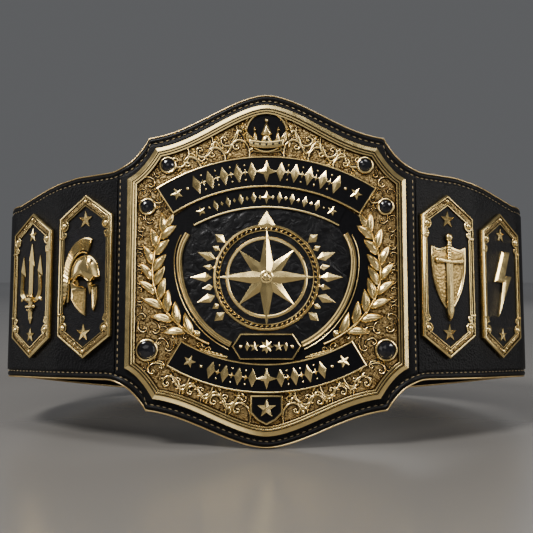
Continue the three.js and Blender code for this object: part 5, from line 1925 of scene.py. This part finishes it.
    def trident(self) -> Workpiece:
        """Returns the trident."""
        low = self.ground_height - 0.2
        ridge = [(1.0, 0.0), (1.0, 0.3), (0.0, 1.0)]
        piece = Workpiece()
        for x in (-1, 1):
            outer = [
                (2.0 * x, -11.6), (6.5 * x, -12.0), (10.8 * x, -9.0), (12.6 * x, -4.0), (12.3 * x, 3.0),
                (11.8 * x, 11.0)
            ]
            piece.stroke(curve_through(outer, 30), lambda s: 4.0 - 1.8 * s, low, 3.0, ridge)
            head = [
                (x * 11.8 - 3.7, 7.0), (x * 11.8 - 1.2, 10.4), (x * 11.8 + 1.2, 10.4),
                (x * 11.8 + 3.7, 7.0), (x * 11.8, 24.0)
            ]
            piece.cut(head, low, low + 1.1, low + 3.2, (x * 11.8, 11.0))
            piece.leaf((11.4 * x, -9.0), -90 + 35 * x, (5.4, 2.6), low, 2.0)
        piece.stroke([(0, -27.0), (0, -10.0), (0, 19.0)], 3.7, low, 3.2, ridge)
        head = [(-4.1, 15.0), (-1.3, 19.0), (1.3, 19.0), (4.1, 15.0), (0.0, 34.0)]
        piece.cut(head, low, low + 1.2, low + 3.8, (0.0, 19.6))
        for y, wide, tall in ((-11.6, 7.2, 3.0), (-17.4, 8.6, 2.4), (-20.2, 5.8, 1.6), (-8.6, 5.4, 1.6)):
            bar = [
                (-wide / 2, y - tall / 2), (wide / 2, y - tall / 2), (wide / 2, y + tall / 2),
                (-wide / 2, y + tall / 2)
            ]
            piece.terrace(bar, low, low + 2.9, [(0.5, 0.7)])
        for x in (-1, 1):
            piece.ball((4.9 * x, -17.4), low + 1.2, 1.6, 1.8, sides=10)
        end = [(-2.2, -26.6), (0.0, -31.5), (2.2, -26.6), (0.0, -24.6)]
        return piece.cut(end, low, low + 1.2, low + 3.2, (0.0, -27.0))

    def bolt(self) -> Workpiece:
        """Returns the lightning bolt."""
        low = self.ground_height - 0.2
        shape = [(-6.4, -25.5), (13.0, 7.3), (3.8, 7.9), (11.2, 27.3), (-0.5, 27.3), (-11.8, 2.0), (0.4, 1.7)]
        steps = [(0.25, 0.4), (0.25, 0.15), (1.35, 0.95), (0.3, 0.05)]
        return Workpiece().terrace(shape, low, low + 2.0, steps)

    def sword(self) -> Workpiece:
        """Returns the sword over its shield."""
        low = self.ground_height - 0.2
        half = curve_through([(0.0, -28.4), (6.6, -21.5), (12.4, -11.5), (16.2, 1.0), (17.4, 14.0)], 15)
        right = half + [(17.2, 23.0), (12.2, 21.0), (8.6, 21.0), (4.3, 22.3), (0.0, 23.6)]
        outline = right + mirrored(right[1:-1])
        rows = [(1, 0), (1, 1.0), (0.985, 1.5), (0.96, 1.65), (0.915, 1.65)]
        rows += [(0.9, 1.05), (0.885, 1.05), (0.875, 1.4), (0.86, 1.45), (0.84, 1.0)]
        piece = shrunk(outline, [(share, low + up) for share, up in rows], (0.0, -1.0))
        piece.join(cushion([(0.85 * x, 0.85 * y) for x, y in outline], low + 1.0, 0.8, (0.0, -1.0), 1))
        blade = [(0.0, 10.0), (0.0, -27.0), (0.0, -30.5), (0.0, -34.5)]
        wide = (6.8, 6.4, 4.2, 0.3)
        section = [(1.0, 0.0), (1.0, 0.62), (0.5, 0.96), (0.34, 0.84)]
        rings = []
        for (x, y), w in zip(blade, wide):
            tall = 4.3 * min(1.0, 0.5 + w / 8)
            row = section + [(-s, up) for s, up in reversed(section)]
            rings.append([Vector((x + s * w / 2, y, low + up * tall)) for s, up in row])
        piece.join(Workpiece().tube(rings))
        guard = curve_through([(-11.4, 11.6), (-6.0, 10.9), (0.0, 10.6), (6.0, 10.9), (11.4, 11.6)], 20)
        flared = [(1.0, 0.0), (1.0, 0.6), (0.6, 0.95), (0.0, 1.0)]
        piece.stroke(guard, lambda s: 2.6 + 1.4 * abs(2 * s - 1) ** 2, low, 4.8, flared)
        for x in (-1, 1):
            piece.ball((11.6 * x, 11.6), low + 2.0, 2.4, 2.6, sides=12)
        for i in range(7):
            piece.ball((0.0, 13.4 + 2.0 * i), low + 1.9, 2.1 if i % 2 else 1.8, 2.1, sides=12)
        piece.ball((0.0, 29.6), low + 1.9, 3.2, 2.7, sides=18)
        return piece.ball((0.0, 10.6), low + 2.6, 2.2, 2.4, sides=12)

    def helmet(self) -> Workpiece:
        """Returns the crested helmet."""
        low = self.ground_height - 0.2
        piece = Workpiece()
        outer = [
            (-19.4, -24.0), (-20.4, -9.0), (-20.0, 6.0), (-17.4, 14.6), (-12.6, 23.0), (-6.0, 28.0),
            (1.0, 29.6), (8.0, 28.0)
        ]
        outer = curve_through(outer, 61)
        inner = [
            (-17.4, -19.0), (-16.4, -9.0), (-15.6, 2.0), (-13.2, 11.3), (-9.4, 16.6), (-3.4, 19.6),
            (1.0, 19.8), (4.6, 18.4)
        ]
        inner = curve_through(inner, 61)
        rings = []
        for i, ((ox, oy), (ix, iy)) in enumerate(zip(outer, inner)):
            tall = 1.5 if i % 2 else 2.5
            shoulder = Vector((mix(ix, ox, 0.9), mix(iy, oy, 0.9), low + tall))
            rings.append([
                Vector((ix, iy, low)), Vector((ix, iy, low + 0.8 * tall)), shoulder,
                Vector((ox, oy, low + 0.5 * tall)), Vector((ox, oy, low)),
            ])
        piece.join(Workpiece().tube(rings))
        holder = [
            (-15.6, -20.0), (-14.8, -8.0), (-14.3, 2.0), (-12.0, 10.2), (-8.4, 15.3), (-3.0, 18.2),
            (3.6, 17.6)
        ]
        holder = curve_through(holder, 44)
        piece.stroke(holder, 1.5, low, 2.6)
        dome = [
            (15.2, -2.4), (14.6, 3.4), (11.4, 11.0), (5.4, 16.0), (-1.7, 16.0), (-7.8, 13.2),
            (-12.2, 6.6), (-13.7, -3.4)
        ]
        dome = curve_through(dome, 34)
        brow = [
            (-13.7, -3.4), (-9.0, -2.2), (-3.6, -0.6), (1.0, -1.8), (5.4, -4.4), (8.4, -4.2),
            (11.0, -2.8), (15.2, -2.4)
        ]
        brow = curve_through(brow, 20)
        piece.join(cushion(dome + brow[1:-1], low + 0.6, 5.0, (-0.5, 5.0)))
        temple = [
            (-13.4, -4.6), (-5.9, -2.8), (-4.9, -7.4), (-1.8, -9.2), (2.2, -9.4), (2.3, -12.0),
            (-11.6, -12.0)
        ]
        piece.terrace(temple, low, low + 1.7, [(0.3, 0.4)])
        cheek = [(-11.4, -9.4), (2.6, -9.4), (2.4, -30.6), (-2.0, -28.2), (-7.4, -23.6), (-11.8, -17.6)][::-1]
        rim = [(0.25, 0.5), (0.35, 0.15), (0.55, 0.0), (0.25, -0.5)]
        piece.terrace(cheek, low, low + 1.9, rim, 1)
        far_cheek = [(8.6, -8.6), (9.2, -24.2), (10.4, -27.4), (12.6, -22.4), (13.9, -16.4), (13.4, -8.6)]
        piece.terrace(far_cheek, low, low + 1.7, rim[:3] + [(0.2, -0.35)], 1)
        nose = [(4.8, -4.6), (5.6, -11.0), (6.8, -14.4), (8.1, -11.0), (8.8, -4.6)]
        piece.cut(nose, low, low + 2.2, low + 4.8, (6.8, -6.4))
        for path, wide in (
            ([(-9.6, -5.4), (-6.6, -1.0), (-2.4, 0.6), (2.0, -1.2), (6.4, -4.2)], 1.7),
            ([(7.2, -4.2), (9.8, -1.8), (12.6, -0.9), (15.4, -1.6)], 1.6),
            ([(-9.6, -5.4), (-5.2, -7.8), (-0.6, -8.4), (2.6, -9.4)], 1.2),
            ([(9.2, -8.2), (11.2, -7.4), (13.8, -7.4)], 1.1),
        ):
            piece.stroke(curve_through(path, 16), wide, low + 1.2, 3.2)
        for path in ([(3.4, 15.6), (5.8, 9.0), (6.8, 3.6)], [(9.6, 12.6), (8.0, 8.0), (6.8, 3.6)]):
            piece.stroke(curve_through(path, 12), 1.1, low + 3.6, 1.9)
        return piece

    def build(self) -> None:
        """Makes the whole plate."""
        self.frame()
        self.ground()
        self.stars()
        made = {
            Figure.HELMET: self.helmet, Figure.SWORD: self.sword,
            Figure.TRIDENT: self.trident, Figure.BOLT: self.bolt,
        }
        piece = made[self.figure]()
        name = self.figure.value
        round_to = 20.0 if self.figure is Figure.BOLT else 38.0
        finishes = [self.finishes.polished, self.finishes.hammered]
        piece.finish(f"{name}_figure", finishes, Slot.GOLD, self.seat(), [f"{name}_motif"], round_to)


@dataclass
class Fastening(Assembly):
    """The press studs and the piping down both ends of the strap, at the back."""

    column: float = 24.0
    row: float = 34.0
    radius: float = 6.5

    def stud(self, number: int, x: float, z: float) -> None:
        """Makes one press stud.

        Args:
            number: its number.
            x: its place across the belt.
            z: its height before the belt leans.
        """
        back = self.form.upright(self.form.half_loop, 0.0, 0.0).y
        inside = -self.form.leather_front - 0.3
        outside = self.form.overlap_lift + self.form.plate_back
        base = [(0.0, -1.4), (0.55, -1.4), (0.78, -1.2), (0.94, -0.7), (1.0, 0.0), (0.4, 0.0)]
        cap = [
            (0.4, 0.0), (1.0, 0.0), (0.97, 0.7), (0.8, 1.2), (0.62, 1.1), (0.55, 0.95), (0.3, 1.35),
            (0.0, 1.45)
        ]
        profile = [(r, inside + h) for r, h in base] + [(r, outside + h) for r, h in cap]
        piece = Workpiece()
        verts = [piece.mesh.verts.new((r * self.radius, 0.0, h)) for r, h in profile]
        edges = [piece.mesh.edges.new(pair) for pair in zip(verts, verts[1:])]
        bmesh.ops.spin(piece.mesh, geom=verts + edges, cent=(0, 0, 0), axis=(0, 0, 1), dvec=(0, 0, 0),
                       angle=2 * math.pi, steps=32, use_merge=True, use_duplicate=False)
        bmesh.ops.remove_doubles(piece.mesh, verts=piece.mesh.verts, dist=1e-4)
        seat = self.form.stand @ Matrix.Translation((x, back, z)) @ Matrix.Rotation(-math.pi / 2, 4, "X")
        piece.finish(
            f"stud_{number}", [self.finishes.antique], Slot.STUD, seat, [f"press_stud_{number}"], 30.0
        )

    def end_piping(self, side: int) -> None:
        """Makes the piping down one end of the strap."""
        end = side * self.form.strap_end
        low, high = self.form.edge(end, False), self.form.edge(end, True)
        profile = [(0.3, -2.0), (0.3, 2.1), (0.7, 2.35), (1.15, 2.2), (1.5, 1.5), (1.5, -1.5), (1.2, -2.0)]
        sections = [
            [self.form.point(end + side * along, v, w) for along, w in profile]
            for v in spaced(low, high, 24)
        ]
        word = "right" if side > 0 else "left"
        piece = Workpiece().tube(sections)
        piece.finish(
            f"end_piping_{word}", [self.finishes.piping], Slot.PIPING, None, [f"binding_end_{word}"], 60.0
        )

    def build(self) -> None:
        """Makes the studs and both end pipings."""
        middle = (self.form.strap_bottom + self.form.strap_back_top) / 2 - self.form.back_droop
        places = [(x * self.column, middle + z * self.row) for x in (-1, 1) for z in (-1, 1)]
        for number, (x, z) in enumerate(places, 1):
            self.stud(number, x, z)
        self.end_piping(-1)
        self.end_piping(1)


@dataclass
class Studio:
    """The pale floor, the soft lights and the camera."""

    finishes: Finishes
    distance: float = 600.0
    focal_pixels: float = 807.0
    frame_pixels: float = 533.0
    eye_height: float = 134.5

    def floor(self) -> None:
        """Lays the flat floor."""
        made = bmesh.new()
        bmesh.ops.create_grid(made, x_segments=8, y_segments=8, size=6.0)
        mesh = bpy.data.meshes.new("studio_floor")
        made.to_mesh(mesh)
        made.free()
        mesh.materials.append(self.finishes.floor)
        floor = bpy.data.objects.new("studio_floor", mesh)
        bpy.context.scene.collection.objects.link(floor)

    def light(
        self, name: str, place: Vector, aim: Vector, size: tuple[float, float], power: float, warm: float
    ) -> None:
        """Hangs a soft rectangular light.

        Args:
            name: its name.
            place: where it hangs, in metres.
            aim: what it points at.
            size: its width and height.
            power: its power in watts.
            warm: how warm it is, from 0 to 1.
        """
        data = bpy.data.lights.new(name, "AREA")
        data.shape = "RECTANGLE"
        data.size, data.size_y = size
        data.energy = power
        data.color = (1.0, mix(1.0, 0.88, warm), mix(1.0, 0.72, warm))
        lamp = bpy.data.objects.new(name, data)
        lamp.location = place
        lamp.rotation_euler = (aim - place).to_track_quat("-Z", "Y").to_euler()
        bpy.context.scene.collection.objects.link(lamp)

    def lights(self) -> None:
        """Hangs the lights and sets the room's own light."""
        aim = Vector((0.0, -0.1, 0.14))
        self.light("key_left", Vector((-0.75, -1.05, 1.45)), aim, (0.5, 0.45), 40.0, 0.1)
        self.light("key_right", Vector((1.2, -1.1, 0.9)), aim, (0.4, 0.6), 12.0, 0.3)
        self.light("top", Vector((-0.1, -0.35, 1.6)), aim, (1.6, 0.4), 11.0, 0.0)
        self.light("front", Vector((-0.5, -2.2, 0.8)), aim, (1.2, 0.7), 2.6, 0.3)
        self.light("strip_left", Vector((-1.3, -0.1, 0.35)), aim, (0.2, 0.9), 2.5, 0.2)
        self.light("strip_right", Vector((1.3, -0.3, 0.35)), aim, (0.2, 0.9), 4.0, 0.2)
        self.light("back", Vector((0.5, 1.8, 1.4)), aim, (1.3, 0.8), 11.0, 0.0)
        world = bpy.data.worlds.new("studio_air")
        world.use_nodes = True
        air = world.node_tree.nodes["Background"]
        air.inputs["Color"].default_value = (0.5, 0.51, 0.53, 1.0)
        air.inputs["Strength"].default_value = 0.23
        bpy.context.scene.world = world

    def camera(self) -> None:
        """Sets the camera level in front of the main plate."""
        data = bpy.data.cameras.new("camera")
        data.sensor_width = 36.0
        data.lens = self.focal_pixels / self.frame_pixels * data.sensor_width
        camera = bpy.data.objects.new("camera", data)
        face = FORM.seat(0.0, 0.0) @ Vector((0.0, 0.0, 5.0))
        camera.location = (0.0, face.y - self.distance * MM, self.eye_height * MM)
        camera.rotation_euler = (math.pi / 2, 0.0, 0.0)
        bpy.context.scene.collection.objects.link(camera)
        bpy.context.scene.camera = camera

    def build(self) -> None:
        """Makes the floor, the lights and the camera."""
        self.floor()
        self.lights()
        self.camera()


SIDE_PLATES = (
    ("inner_left", -1, 140.5, 1.0, Figure.HELMET),
    ("inner_right", 1, 140.5, 1.0, Figure.SWORD),
    ("outer_left", -1, 201.0, 0.93, Figure.TRIDENT),
    ("outer_right", 1, 201.0, 0.93, Figure.BOLT),
)


def main() -> None:
    """Builds the belt and the studio round it."""
    logging.basicConfig(level=logging.INFO, format="%(message)s")
    finishes = Finishes()
    Studio(finishes).build()
    Leather(finishes).build()
    MainPlate(finishes).build()
    Signs(finishes).build()
    CenterPiece(finishes).build()
    for row in SIDE_PLATES:
        SidePlate(finishes, *row).build()
    Fastening(finishes).build()


if __name__ == "__main__":
    main()
